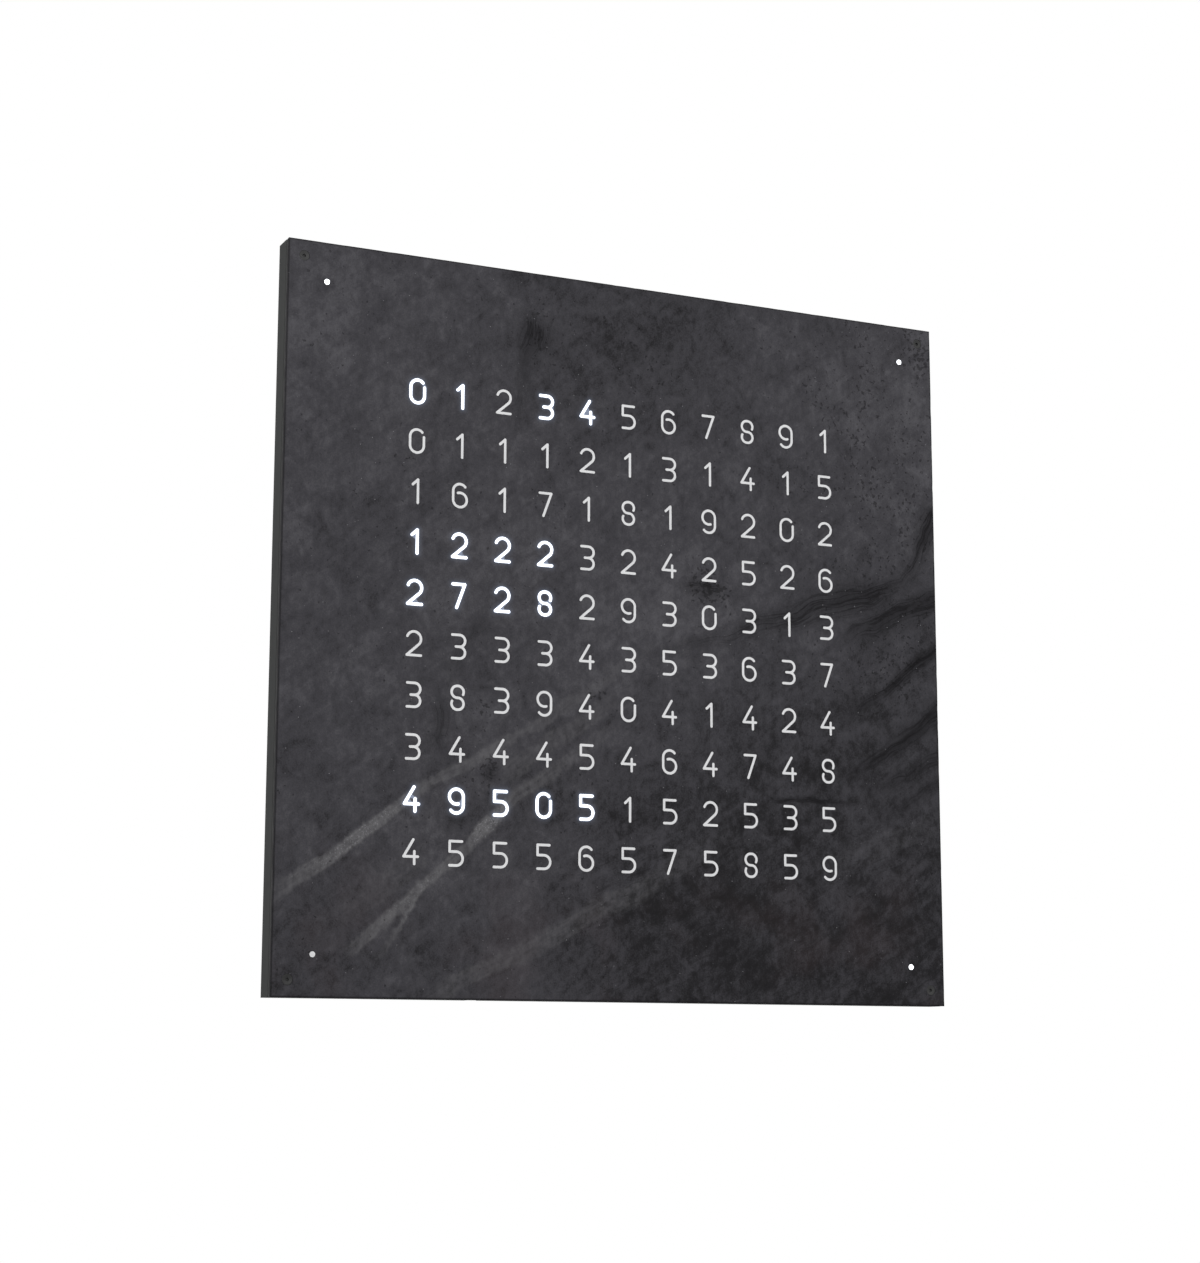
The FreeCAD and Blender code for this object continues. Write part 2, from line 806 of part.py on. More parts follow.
def build_board_fixings():
    places = lug_places() + corner_screw_places() + control_screw_places()
    spacers = []
    screws = []
    for x, z in places:
        spacer = rod(x, z, board_back_y, panel_inner_y, spacer_diameter / 2)
        spacers.append(spacer.cut(rod(x, z, board_back_y, panel_inner_y, tapped_radius)))
        head_y = board_front_y if (x, z) in control_screw_places() else lug_front_y
        screws.append(pan_screw(x, z, head_y, panel_inner_y - tip_gap - head_y, -1))
    write("board_spacers", spacers)
    write("board_screws", screws)


# Control board in the lower margin

def block(x, z, length, width, thickness):
    # A component on the front of a board, or on its back if the thickness is negative
    y = board_front_y if thickness > 0 else board_back_y
    return box(x - length / 2, x + length / 2, y - thickness, y, z - width / 2, z + width / 2)


def build_control():
    right = control_left + control_length
    low = margin_z - control_height / 2
    high = margin_z + control_height / 2
    write("control_board", board(control_left, right, low, high, control_screw_places()))
    middle = control_left + control_length / 2
    write("controller_chip", block(middle, margin_z, chip_size, chip_size, chip_thickness))
    crystal_x = middle + chip_size + crystal_length / 2
    crystal = block(crystal_x, margin_z, crystal_length, crystal_width, crystal_thickness)
    upright = [edge for edge in crystal.Edges if abs(edge.tangentAt(edge.FirstParameter).y) > 0.5]
    write("quartz_crystal", crystal.makeFillet(crystal_corner, upright))
    capacitor_y = board_front_y - capacitor_diameter / 2
    capacitor_x = middle - chip_size - capacitor_length
    capacitor_end = capacitor_x + capacitor_length
    capacitor = rod_x(capacitor_y, margin_z, capacitor_x, capacitor_end, capacitor_diameter / 2)
    write("supply_capacitor", capacitor)
    drivers = []
    for x in (-driver_offset, 0, driver_offset):
        for z in (-driver_offset, driver_offset):
            drivers.append(block(x, z, driver_length, driver_width, -chip_thickness))
    write("driver_chips", drivers)

    reach = socket_width / 2
    board_socket_z = high - reach
    light_socket_z = reach - light_board_half_z
    write("board_sockets", [
        block(middle, board_socket_z, socket_length, socket_width, socket_thickness),
        block(middle, light_socket_z, socket_length, socket_width, socket_thickness),
        block(right - reach, margin_z, socket_width, supply_socket_length, socket_thickness),
        block(control_left + reach, margin_z, socket_width, supply_socket_length, socket_thickness),
    ])
    ribbon_y = board_front_y - (socket_thickness - ribbon_thickness) / 2
    ribbon = box(
        middle - ribbon_width / 2, middle + ribbon_width / 2,
        ribbon_y - ribbon_thickness, ribbon_y,
        board_socket_z + reach, light_socket_z - reach,
    )
    write("board_ribbon", ribbon)


# Power inlet in the end of a bay that is open to the wall, so that the plug lies inside the clock's depth

def build_power():
    low = margin_z - bay_height / 2
    high = margin_z + bay_height / 2
    right = bay_left + bay_length
    floor_y = rail_back_y - bay_depth
    inside = spout_width / 2
    spout_y = rail_back_y - spout_depth
    tray = box(
        bay_left - bay_wall, right + bay_wall,
        floor_y - bay_wall, panel_inner_y,
        low - bay_wall, high + bay_wall,
    )
    spout = spout_box(inside + bay_wall, spout_y - bay_wall, panel_inner_y, -channel_half, low)
    tray = tray.fuse(spout).removeSplitter()
    tray = tray.cut(box(bay_left, right, floor_y, panel_inner_y, low, high))
    tray = tray.cut(spout_box(inside, spout_y, panel_inner_y, -channel_half, low))
    inlet_y = (panel_inner_y + floor_y - bay_wall) / 2
    tray = tray.cut(rod_x(inlet_y, margin_z, right, right + bay_wall, inlet_nose / 2))
    write("plug_bay", tray)

    start = right + bay_wall
    inlet = box(
        start, start + inlet_length,
        inlet_y - inlet_thickness / 2, inlet_y + inlet_thickness / 2,
        margin_z - inlet_width / 2, margin_z + inlet_width / 2,
    )
    bore_end = start + inlet_bore_depth
    write("power_inlet", inlet.cut(rod_x(inlet_y, margin_z, start, bore_end, inlet_bore / 2)))
    write("inlet_pin", rod_x(inlet_y, margin_z, bore_end - pin_length, bore_end, pin_diameter / 2))

    leads = []
    lead_y = board_front_y - supply_lead_diameter / 2
    for side in (-1, 1):
        z = margin_z + side * supply_lead_spacing / 2
        leads.append(rod_x(lead_y, z, start + inlet_length, control_left, supply_lead_diameter / 2))
    write("supply_leads", leads)


# Three sprung buttons in the right-hand rail, and the switches behind them

def button_places():
    return [button_lowest + index * button_pitch for index in range(button_count)]


def build_buttons():
    flange_x = channel_half - button_flange_thickness
    switch_x = flange_x - button_travel - button_stop_gap
    switch_back_x = switch_x - switch_thickness
    plunger_length = flange_x - switch_x + plunger_engagement
    bore_depth = plunger_engagement + button_travel + plunger_floor_gap
    switches = []
    for name, z in zip(("mode", "minus", "plus"), button_places()):
        cap = rod_x(button_y, z, channel_half, half - button_sink, button_diameter / 2)
        rim = [edge for edge in cap.Edges if edge.BoundBox.XMin > half - button_sink - running_gap]
        cap = cap.makeChamfer(button_edge, rim)
        cap = cap.fuse(rod_x(button_y, z, flange_x, channel_half, button_flange / 2)).removeSplitter()
        write(name + "_button", cap)
        plunger_radius = plunger_diameter / 2
        write(name + "_plunger", rod_x(button_y, z, flange_x - plunger_length, flange_x, plunger_radius))
        reach = switch_size / 2
        body = box(switch_back_x, switch_x, button_y - reach, button_y + reach, z - reach, z + reach)
        bore = rod_x(button_y, z, switch_x - bore_depth, switch_x, plunger_radius + running_gap)
        switches.append(body.cut(bore))
    write("switch_bodies", switches)

    middle = button_lowest + (button_count - 1) * button_pitch / 2
    back_x = switch_back_x - board_thickness
    key_board = box(
        back_x, switch_back_x,
        front_lip_y + key_board_gap, rear_lip_y - key_board_gap,
        middle - key_board_length / 2, middle + key_board_length / 2,
    )
    write("button_board", key_board)
    low_y = rear_lip_y - key_board_gap - key_cable_diameter / 2
    high_y = board_front_y - socket_thickness / 2
    run_x = light_board_half_x + 2 * key_cable_diameter
    end_x = control_left + control_length
    route = [
        point(back_x, low_y, middle),
        point(run_x, low_y, middle),
        point(run_x, low_y, margin_z),
        point(end_x + 2 * key_cable_ramp, low_y, margin_z),
        point(end_x + key_cable_ramp, high_y, margin_z),
        point(end_x, high_y, margin_z),
    ]
    write("button_cable", tube(route, key_cable_diameter, key_cable_bend))


os.makedirs("parts", exist_ok=True)
build_cover()
build_housing()
build_lights()
build_board_fixings()
build_control()
build_power()
build_buttons()
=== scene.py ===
import bpy
import json
import math
import numpy as np
from mathutils import Matrix, Vector
from mathutils.geometry import delaunay_2d_cdt
from mathutils.kdtree import KDTree

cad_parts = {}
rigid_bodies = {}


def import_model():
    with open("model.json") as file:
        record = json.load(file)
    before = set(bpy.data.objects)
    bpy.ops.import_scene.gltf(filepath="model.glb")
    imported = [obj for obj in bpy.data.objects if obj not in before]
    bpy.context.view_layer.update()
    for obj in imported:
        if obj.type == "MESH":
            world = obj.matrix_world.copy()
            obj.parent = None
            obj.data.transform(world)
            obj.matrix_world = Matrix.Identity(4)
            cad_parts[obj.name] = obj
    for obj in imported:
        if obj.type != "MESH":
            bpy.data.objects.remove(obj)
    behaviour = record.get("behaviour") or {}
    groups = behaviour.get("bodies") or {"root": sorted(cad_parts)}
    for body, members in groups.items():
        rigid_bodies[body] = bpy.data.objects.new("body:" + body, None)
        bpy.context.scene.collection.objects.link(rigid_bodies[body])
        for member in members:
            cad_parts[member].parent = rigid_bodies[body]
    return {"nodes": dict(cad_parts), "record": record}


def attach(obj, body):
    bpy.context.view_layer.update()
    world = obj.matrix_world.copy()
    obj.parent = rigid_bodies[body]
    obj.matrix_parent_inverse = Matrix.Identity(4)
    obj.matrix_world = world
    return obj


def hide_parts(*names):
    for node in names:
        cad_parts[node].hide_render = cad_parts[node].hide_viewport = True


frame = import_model()
for thing in list(bpy.data.objects):
    if thing.name not in frame["nodes"] and not thing.name.startswith("body:"):
        bpy.data.objects.remove(thing)  # the start-up cube, lamp and camera
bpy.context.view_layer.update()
mm = 0.001     # one millimetre in metres
touch = 0.001  # millimetres; a point nearer than this lies on the face
white = (1, 1, 1, 1)
black = (0, 0, 0, 1)
print("frame loaded:", len(frame["nodes"]), "nodes")


# Camera, floor and light

cameraView = {
    "place": (-0.64549, -1.37100, -0.26335),  # metres
    "heading": -24.8636,                      # degrees, turned to the right of straight ahead
    "tilt": 10.0629,
    "roll": 0.098,
    "lens": 69.84,
    "sensor": 36.0,
}
studio = {
    "floorHeight": -1.25,   # metres, well below a clock that hangs on a wall
    "floorSize": 14.0,
    "floorColour": (0.93, 0.93, 0.93, 1),
    "floorGrain": 60.0,     # millimetres
    "floorLift": 0.35,      # light that only the camera sees on the floor
    "fill": 0.42,           # world light on the object; the camera sees 1, which is white
}
lamps = {
    "keyLamp": {"place": (-1.1, -2.7, 1.2), "aim": (-0.1, 0, 0.05), "size": 1.4, "watts": 38.0},
    "sheenLamp": {"place": (1.15, -1.35, 0.85), "aim": (0.2, 0, 0.16), "size": 0.7, "watts": 5.0},
}


def addCamera(look):
    lens = bpy.data.cameras.new("view")
    lens.lens = look["lens"]
    lens.sensor_width = look["sensor"]
    camera = bpy.data.objects.new("view", lens)
    turn = Matrix.Rotation(math.radians(look["heading"]), 4, "Z")
    lift = Matrix.Rotation(math.radians(90 + look["tilt"]), 4, "X")
    spin = Matrix.Rotation(math.radians(look["roll"]), 4, "Z")
    camera.matrix_world = Matrix.Translation(look["place"]) @ turn @ lift @ spin
    bpy.context.scene.collection.objects.link(camera)
    bpy.context.scene.camera = camera


def addLamp(name, look):
    light = bpy.data.lights.new(name, "AREA")
    light.size = look["size"]
    light.energy = look["watts"]
    lamp = bpy.data.objects.new(name, light)
    lamp.location = look["place"]
    away = Vector(look["place"]) - Vector(look["aim"])
    lamp.rotation_euler = away.to_track_quat("Z", "Y").to_euler()
    bpy.context.scene.collection.objects.link(lamp)


# Shader maths: a wire is one output socket, and sums and products of wires add Math nodes

class Wire:
    def __init__(self, finish, socket):
        self.finish = finish
        self.socket = socket

    def __add__(self, other):
        return self.finish.maths("ADD", self, other)

    def __radd__(self, other):
        return self.finish.maths("ADD", other, self)

    def __sub__(self, other):
        return self.finish.maths("SUBTRACT", self, other)

    def __rsub__(self, other):
        return self.finish.maths("SUBTRACT", other, self)

    def __mul__(self, other):
        return self.finish.maths("MULTIPLY", self, other)

    def __rmul__(self, other):
        return self.finish.maths("MULTIPLY", other, self)

    def __truediv__(self, other):
        return self.finish.maths("DIVIDE", self, other)

    def __rtruediv__(self, other):
        return self.finish.maths("DIVIDE", other, self)

    def __pow__(self, other):
        return self.finish.maths("POWER", self, other)

    def __rpow__(self, other):
        return self.finish.maths("POWER", other, self)


class Finish:
    def __init__(self, name, tree=None):
        self.material = None
        if tree is None:
            self.material = bpy.data.materials.new(name)
            self.material.use_nodes = True
            tree = self.material.node_tree
        self.tree = tree
        self.tree.nodes.clear()

    def node(self, kind, settings=None, values=None, output=0):
        made = self.tree.nodes.new(kind)
        for key, value in (settings or {}).items():
            setattr(made, key, value)
        for key, value in (values or {}).items():
            if isinstance(value, Wire):
                self.tree.links.new(value.socket, made.inputs[key])
            else:
                made.inputs[key].default_value = value
        return Wire(self, made.outputs[output]) if made.outputs else made

    def maths(self, operation, a, b):
        return self.node("ShaderNodeMath", {"operation": operation}, {0: a, 1: b})

    def fit(self, value, low, high):
        # Rises softly from 0 at low to 1 at high, or falls where high is the smaller
        rises = low < high
        ends = {"Value": value, "From Min": min(low, high), "From Max": max(low, high)}
        ends.update({"To Min": float(not rises), "To Max": float(rises)})
        return self.node("ShaderNodeMapRange", {"interpolation_type": "SMOOTHSTEP"}, ends)

    def mix(self, share, a, b):
        return self.node("ShaderNodeMix", {"data_type": "RGBA"}, {0: share, 6: a, 7: b}, 2)

    def place(self, turn=(0, 0, 0), stretch=(1, 1, 1)):
        # The point on the piece in millimetres, turned and stretched
        here = self.node("ShaderNodeTexCoord", output="Object")
        turned = [math.radians(angle) for angle in turn]
        spun = self.node("ShaderNodeMapping", None, {"Vector": here, "Rotation": turned})
        scale = [share / mm for share in stretch]
        return self.node("ShaderNodeMapping", None, {"Vector": spun, "Scale": scale})

    def noise(self, where, size, detail=3.0, rough=0.55, warp=0.0):
        values = {"Vector": where, "Scale": 1.0 / size}
        values.update({"Detail": detail, "Roughness": rough, "Distortion": warp})
        return self.node("ShaderNodeTexNoise", None, values)

    def cells(self, where, size, output="Distance"):
        return self.node("ShaderNodeTexVoronoi", None, {"Vector": where, "Scale": 1.0 / size}, output)

    def pair(self, a, b):
        return self.node("ShaderNodeCombineXYZ", None, {0: a, 1: b})

    def mark(self, name):
        return self.node("ShaderNodeAttribute", {"attribute_name": name}, None, "Fac")

    def split(self, vector, axis):
        return self.node("ShaderNodeSeparateXYZ", None, {"Vector": vector}, axis)

    def bump(self, height, depth, normal=None):
        values = {"Height": height, "Distance": depth * mm, "Strength": 1.0}
        if normal:
            values["Normal"] = normal
        return self.node("ShaderNodeBump", None, values, "Normal")

    def surface(self, values):
        shader = self.node("ShaderNodeBsdfPrincipled", None, values)
        self.node("ShaderNodeOutputMaterial", None, {"Surface": shader})
        return self.material


def linear(red, green, blue):
    # A colour as it is seen on screen, 0 to 255, as the light values that a shader takes
    seen = [channel / 255 for channel in (red, green, blue)]
    return tuple(c / 12.92 if c <= 0.04045 else ((c + 0.055) / 1.055) ** 2.4 for c in seen) + (1.0,)


def gray(level):
    return linear(level, level, level)


def addWorld(look):
    world = bpy.data.worlds.new("studio")
    world.use_nodes = True
    bpy.context.scene.world = world
    f = Finish("studio", world.node_tree)
    seen = f.node("ShaderNodeLightPath", output="Is Camera Ray")
    shiny = f.node("ShaderNodeLightPath", output="Is Glossy Ray")
    through = f.node("ShaderNodeLightPath", output="Is Transmission Ray")
    bright = f.maths("MAXIMUM", f.maths("MAXIMUM", seen, shiny), through)
    light = f.node("ShaderNodeBackground", None, {"Color": white, "Strength": look["fill"]})
    background = f.node("ShaderNodeBackground", None, {"Color": white, "Strength": 1.0})
    both = f.node("ShaderNodeMixShader", None, {0: bright, 1: light, 2: background})
    f.node("ShaderNodeOutputWorld", None, {"Surface": both})


def addFloor(look):
    half = look["floorSize"] / 2
    z = look["floorHeight"]
    mesh = bpy.data.meshes.new("floor")
    corners = [(-half, -half, z), (half, -half, z), (half, half, z), (-half, half, z)]
    mesh.from_pydata(corners, [], [(0, 1, 2, 3)])
    floor = bpy.data.objects.new("floor", mesh)
    bpy.context.scene.collection.objects.link(floor)
    f = Finish("paleFloor")
    seen = f.node("ShaderNodeLightPath", output="Is Camera Ray")
    grain = f.noise(f.place(), look["floorGrain"])
    colour = f.mix(grain, look["floorColour"], white)
    matt = f.node("ShaderNodeBsdfDiffuse", None, {"Color": colour})
    lift = f.node("ShaderNodeEmission", None, {"Color": white, "Strength": seen * look["floorLift"]})
    both = f.node("ShaderNodeAddShader", None, {0: matt, 1: lift})
    f.node("ShaderNodeOutputMaterial", None, {"Surface": both})
    mesh.materials.append(f.material)


addCamera(cameraView)
addWorld(studio)
addFloor(studio)
for name, look in lamps.items():
    addLamp(name, look)
bpy.context.scene.view_settings.view_transform = "Standard"
print("camera, floor and light ready")


# Meshes read from the frame, and meshes made here

sharpAngle = 38  # degrees between faces; a sharper edge isn't smoothed
weldGap = 1e-6   # millimetres; closer points of a filled face become one
sliver = 1e-7    # square millimetres; triangles whose doubled area isn't above this are left out


def nodeTriangles(name):
    # A node's points in millimetres, each held once, and its triangles
    mesh = frame["nodes"][name].data
    flat = np.empty(len(mesh.vertices) * 3)
    mesh.vertices.foreach_get("co", flat)
    corners = np.empty(len(mesh.loops), int)
    mesh.loops.foreach_get("vertex_index", corners)
    points, places = np.unique(np.round(flat.reshape(-1, 3) / mm, 4), axis=0, return_inverse=True)
    return points, places.ravel()[corners].reshape(-1, 3)


def borderLoops(triangles):
    # Ordered loops of the edges that only one triangle uses
    edges = np.concatenate([triangles[:, [0, 1]], triangles[:, [1, 2]], triangles[:, [2, 0]]])
    first, count = np.unique(np.sort(edges, axis=1), axis=0, return_index=True, return_counts=True)[1:]
    following = dict(edges[first[count == 1]].tolist())
    loops = []
    while following:
        start, here = following.popitem()
        loop = [start]
        while here != start:
            loop.append(here)
            here = following.pop(here)
        loops.append(loop)
    return loops


def addPiece(name, points, faces, material, body, replaced):
    mesh = bpy.data.meshes.new(name)
    mesh.from_pydata(points, [], faces)
    mesh.validate()
    mesh.shade_smooth()
    mesh.set_sharp_from_angle(angle=math.radians(sharpAngle))
    mesh.materials.append(material)
    piece = bpy.data.objects.new(name, mesh)
    bpy.context.scene.collection.objects.link(piece)
    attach(piece, body)
    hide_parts(*replaced)
    return piece


# Riven slate front

slateLook = {
    "gridStep": 2.0,           # millimetres between the points of the riven face
    "jitter": 0.35,            # share of a step
    "gridInset": 1.6,          # from the plate's edge to the grid, in widths of its dressed rim
    "gridClear": 0.9,          # millimetres from a cut to the nearest point of the grid
    "relief": 0.2,             # height of the riven surface
    "swellSize": 42.0,
    "rippleSize": 6.0,
    "rippleStretch": 5.0,
    "rippleTurn": 37.0,        # degrees
    "rippleShare": 0.5,
    "rippleLean": 1.2,         # the ripple grows to the lower right, over these distances
    "rippleGrow": (-60, 160),
    "ledge": 0.3,              # height of a cleft beside a vein
    "cutCalm": (0.4, 3.5),     # distances from a cut over which the relief grows, so that its inlay is flush
    "edgeCalm": (0.3, 4.0),    # and from the plate's edge
    "cutStep": 0.25,           # between the spots on a cut that distances are measured to
    "litStep": 0.3,            # and between those on a lit number
    "onCut": 0.02,             # a point nearer than this to a cut is on it
    "rimStep": 1.1,
    "rimWidth": 0.3,           # worn rim of each cut
    "rimClear": 0.8,           # share of that width that its points keep from other cuts
    "rimDepth": 0.16,
    "rimUneven": 0.6,          # share of the depth
    "rimNoise": 2.2,
    "edgeWidth": 0.8,          # dressed rim of the plate
    "edgeReach": 1.2,          # its slope's length in widths
    "edgeDepth": 0.3,
    "edgeChip": 0.3,
    "chipSize": 9.0,
    "chipRange": (0.1, 0.8),
    "sideRows": (0.3, 0.65, 1.0),  # shares of the way from the face to the back
    "sideRough": 0.1,
    "sideNoise": 5.0,
    "sideShift": 400.0,
    "plainTone": 0.57,         # from 0, dark, to 1, pale
    "pitAcross": (60, 190),    # pits grow commoner to the right
    "pitUp": (-70, 10),        # and upwards
    "farthest": 8.0,           # distances to the edge or a lit number are kept up to this
    "seed": 11,                # each layer of noise adds its own number to it
}
# How the veins wander and rise, in millimetres
veinLook = {
    "drift": 5.0, "driftSize": 34, "wobble": 1.4, "wobbleSize": 8, "ragged": 0.4, "raggedSize": 14,
    "bandDrift": 0.4,          # share of the drift that the light bands follow
    "bandEdge": (1.2, 0.75),   # shares of the half width between which a light band begins
    "bandRise": 0.5,
    "veinShadeAbove": 0.8,          # shares of the half width over which a dark vein fades; the longer fade below is painted shade of the fold
    "veinShadeBelow": 1.25,
    "cleft": 0.8,
    "dip": 0.3,
    "pathGap": 300.0,          # keeps the ways along two veins apart
}
# Veins as the photo shows them. Each point: millimetres from the middle, half width, strength
lightBands = [
    [(-226, -168, 6, 0.3), (-216, -161, 6, 0.6), (-199, -149, 5, 0.85), (-182, -138, 4.2, 0.95),
     (-165, -125, 4, 1.05), (-148, -112, 3.6, 0.85), (-131, -100, 3.4, 0.6), (-114, -90, 3.4, 0.6),
     (-92, -77, 3.6, 0.65), (-62, -61, 3.6, 0.5), (-42, -46, 4, 0.5), (-20, -33, 4, 0.4), (5, -15, 4, 0.25),
     (30, 2, 3, 0)],
    [(-95, -98, 5, 0), (-79, -89, 6, 0.4), (-58, -74, 6, 0.45), (-34, -57, 6, 0.45), (-10, -42, 5, 0.3),
     (12, -28, 4, 0)],
    [(-190, -184, 9, 0), (-180, -175, 9, 0.25), (-150, -155, 8, 0.35), (-136, -143, 6, 0.3),
     (-122, -130, 5, 0)],
    [(-184, -202, 4, 0), (-177, -197, 4, 0.5), (-165, -188, 3.6, 0.75), (-148, -173, 3, 0.85),
     (-131, -157, 3, 0.9), (-121, -148, 3, 0.8), (-105, -135, 3.4, 0.75), (-96, -124, 5, 1.15),
     (-85, -112, 4.2, 0.85), (-75, -102, 4, 0.6), (-56, -91, 4.6, 0.55), (-34, -76, 5, 0.5),
     (-15, -60, 4, 0.3), (0, -48, 3, 0)],
    [(-130, -156, 1.6, 1.0), (-138, -168, 1.4, 0.95), (-145, -181, 1.6, 0.8), (-155, -194, 2.4, 0.5),
     (-168, -210, 4, 0)],
    [(-124, -226, 6.5, 0.35), (-113, -215, 6.5, 0.48), (-79, -201, 6.5, 0.46), (-43, -183, 6.8, 0.45),
     (-15, -168, 6.8, 0.45), (9, -156, 7, 0.4), (35, -141, 7.5, 0.3), (60, -127, 8, 0.2), (85, -112, 7, 0)],
    [(226, -107, 8, 0.2), (192, -118, 9, 0.25), (152, -135, 9, 0.2), (112, -148, 7, 0)],
]
darkVeins = [
    [(226, 97, 7, 0.9), (215, 78, 7, 0.8), (207, 62, 6, 0.55), (198, 50, 7, 0.5), (178, 42, 9, 0.7),
     (155, 37, 10, 0.75), (135, 30, 10, 0.65), (118, 22, 8, 0.6), (98, 17, 7, 0.55), (75, 8, 6, 0.45),
     (58, 2, 5, 0.35), (32, -7, 5, 0.2), (-2, -20, 4, 0)],
    [(226, 43, 7, 0.8), (208, 35, 8, 0.75), (178, 22, 8, 0.65), (162, 18, 6, 0.5), (148, 5, 5, 0)],
    [(226, 10, 4, 0.95), (208, -5, 4, 0.95), (195, -16, 4, 0.85), (178, -27, 4, 0.6), (150, -45, 5, 0)],
    [(226, -30, 7, 0.85), (212, -44, 7, 0.85), (198, -54, 6, 0.75), (182, -63, 6, 0.65), (166, -71, 5, 0.45),
     (142, -86, 4, 0)],
    [(226, -62, 6, 0.55), (192, -78, 6, 0.5), (162, -92, 5, 0)],
    [(94, -91, 1.2, 0), (105, -94, 1.4, 0.8), (125, -98, 1.5, 0.9), (150, -98, 1.3, 0.6), (160, -96, 1, 0)],
    [(226, -78, 5, 0.45), (198, -93, 4, 0.4), (168, -110, 4, 0)],
    [(-62, 204, 8, 0), (-65, 190, 10, 0.7), (-68, 176, 9, 0.65), (-73, 160, 6, 0.4), (-76, 140, 6, 0.4),
     (-80, 112, 5, 0)],
    [(-121, -42, 6, 0), (-122, -55, 6, 0.45), (-124, -70, 6, 0.45), (-122, -92, 5, 0)],
    [(-100, 10, 5, 0), (-104, -5, 5, 0.35), (-116, -28, 5, 0.35), (-119, -44, 5, 0)],
    [(36, 33, 4, 0), (48, 36, 6, 0.6), (60, 34, 6, 0.7), (74, 38, 4, 0)],
    [(-98, -84, 3, 0), (-92, -88, 5, 0.7), (-84, -88, 4, 0)],
]
# Splashes of dark flecks: middle, reach, how dense
fleckPatches = [
    ((52, 37), 13, 2.6), ((66, 34), 9, 2.2), ((-91, -87), 7, 2.6), ((-99, -52), 8, 1.6),
    ((-97, -68), 6, 1.8), ((-22, -38), 7, 1.8), ((-65, 188), 16, 1.4), ((8, 178), 24, 0.7),
    ((215, 205), 8, 1.6), ((-205, -196), 4, 2.4),
]
# Broad soft patches, partly the slate's own tone and partly painted shade and light, darkest at the bottom
# and lower right: middle, reach, change of tone
toneAndShadePatches = [
    ((215, -215), 150, -0.4), ((40, -190), 95, -0.34), ((-200, -210), 75, -0.2), ((205, -20), 75, -0.12),
    ((-5, 195), 85, -0.26), ((-150, 190), 60, 0.06), ((218, 175), 60, 0.16), ((60, -70), 70, -0.12),
    ((140, -60), 60, -0.08), ((0, 15), 75, 0.17), ((-190, 190), 55, 0.06),
]


def lattice(x, z, size, seed):
    # Smooth noise from -1 to 1
    side = 128
    table = np.random.RandomState(seed).uniform(-1, 1, (side, side))
    u, v = x / size, z / size
    column, row = np.floor(u).astype(int), np.floor(v).astype(int)
    s, t = u - column, v - row
    s, t = s * s * (3 - 2 * s), t * t * (3 - 2 * t)
    column, row, right, above = column % side, row % side, (column + 1) % side, (row + 1) % side
    low = table[column, row] * (1 - s) + table[right, row] * s
    high = table[column, above] * (1 - s) + table[right, above] * s
    return low * (1 - t) + high * t


def fractal(x, z, size, octaves, seed):
    total = np.zeros(len(x))
    for octave in range(octaves):
        total += lattice(x, z, size / 2 ** octave, seed + octave) / 2 ** octave
    return total / (2 - 2 ** (1 - octaves))


def smooth(value, low, high):
    share = np.clip((value - low) / (high - low), 0, 1)
    return share * share * (3 - 2 * share)


def besideLine(path, x, z):
    # Signed distance to a line, the way along it, and its half width and strength there
    nearest = np.full(len(x), np.inf)
    found = np.zeros((4, len(x)))
    start = 0.0
    for (ax, az, aw, at), (bx, bz, bw, bt) in zip(path, path[1:]):
        dx, dz = bx - ax, bz - az
        length = math.hypot(dx, dz)
        share = np.clip(((x - ax) * dx + (z - az) * dz) / length ** 2, 0, 1)
        away = np.hypot(x - ax - share * dx, z - az - share * dz)
        facing = 1 if dx >= 0 else -1
        side = np.where((dx * (z - az) - dz * (x - ax)) * facing < 0, -1, 1)
        width, strength = aw + share * (bw - aw), at + share * (bt - at)
        here = np.array([side * away, start + share * length, width, strength])
        found = np.where(away < nearest, here, found)
        nearest = np.minimum(nearest, away)
        start += length
    return found


def veinLayers(x, z, look, seed):
    def shift(first):
        broad = look["drift"] * fractal(x, z, look["driftSize"], 3, seed + first)
        return broad + look["wobble"] * fractal(x, z, look["wobbleSize"], 3, seed + first + 5)

    def keep(kind, body, across, along):
        # Where veins cross, the stronger one shows
        stronger = body > layers[kind + "Body"]
        for key, value in (("Body", body), ("Across", across), ("Along", along + start)):
            layers[kind + key] = np.where(stronger, value, layers[kind + key])

    shiftX, shiftZ = shift(0), shift(20)
    ragged = 1 + look["ragged"] * fractal(x, z, look["raggedSize"], 3, seed + 40)
    names = [kind + key for kind in ("band", "vein") for key in ("Body", "Across", "Along")]
    layers = {name: np.zeros(len(x)) for name in names}
    height = np.zeros(len(x))
    drift = look["bandDrift"]
    start = 0.0
    for path in lightBands:
        across, along, width, strength = besideLine(path, x + drift * shiftX, z + drift * shiftZ)
        body = strength * smooth(np.abs(across) / (width * ragged), *look["bandEdge"])
        keep("band", body, across, along)
        height += look["bandRise"] * body
        start += look["pathGap"]
    for path in darkVeins:
        across, along, width, strength = besideLine(path, x + shiftX, z + shiftZ)
        width = width * ragged
        # Painted shade: below its line a dark vein reaches further, as the fold's shade, over the stone's own
        # dark colour
        fade = width * np.where(across > 0, look["veinShadeAbove"], look["veinShadeBelow"])
        body = strength * np.exp(-(across / fade) ** 2)
        keep("vein", body, across, along)
        reach = np.exp(-(across / (2 * width)) ** 2)
        height += strength * (look["cleft"] * np.tanh(2 * across / width) * reach - look["dip"] * body)
        start += look["pathGap"]
    return layers, height


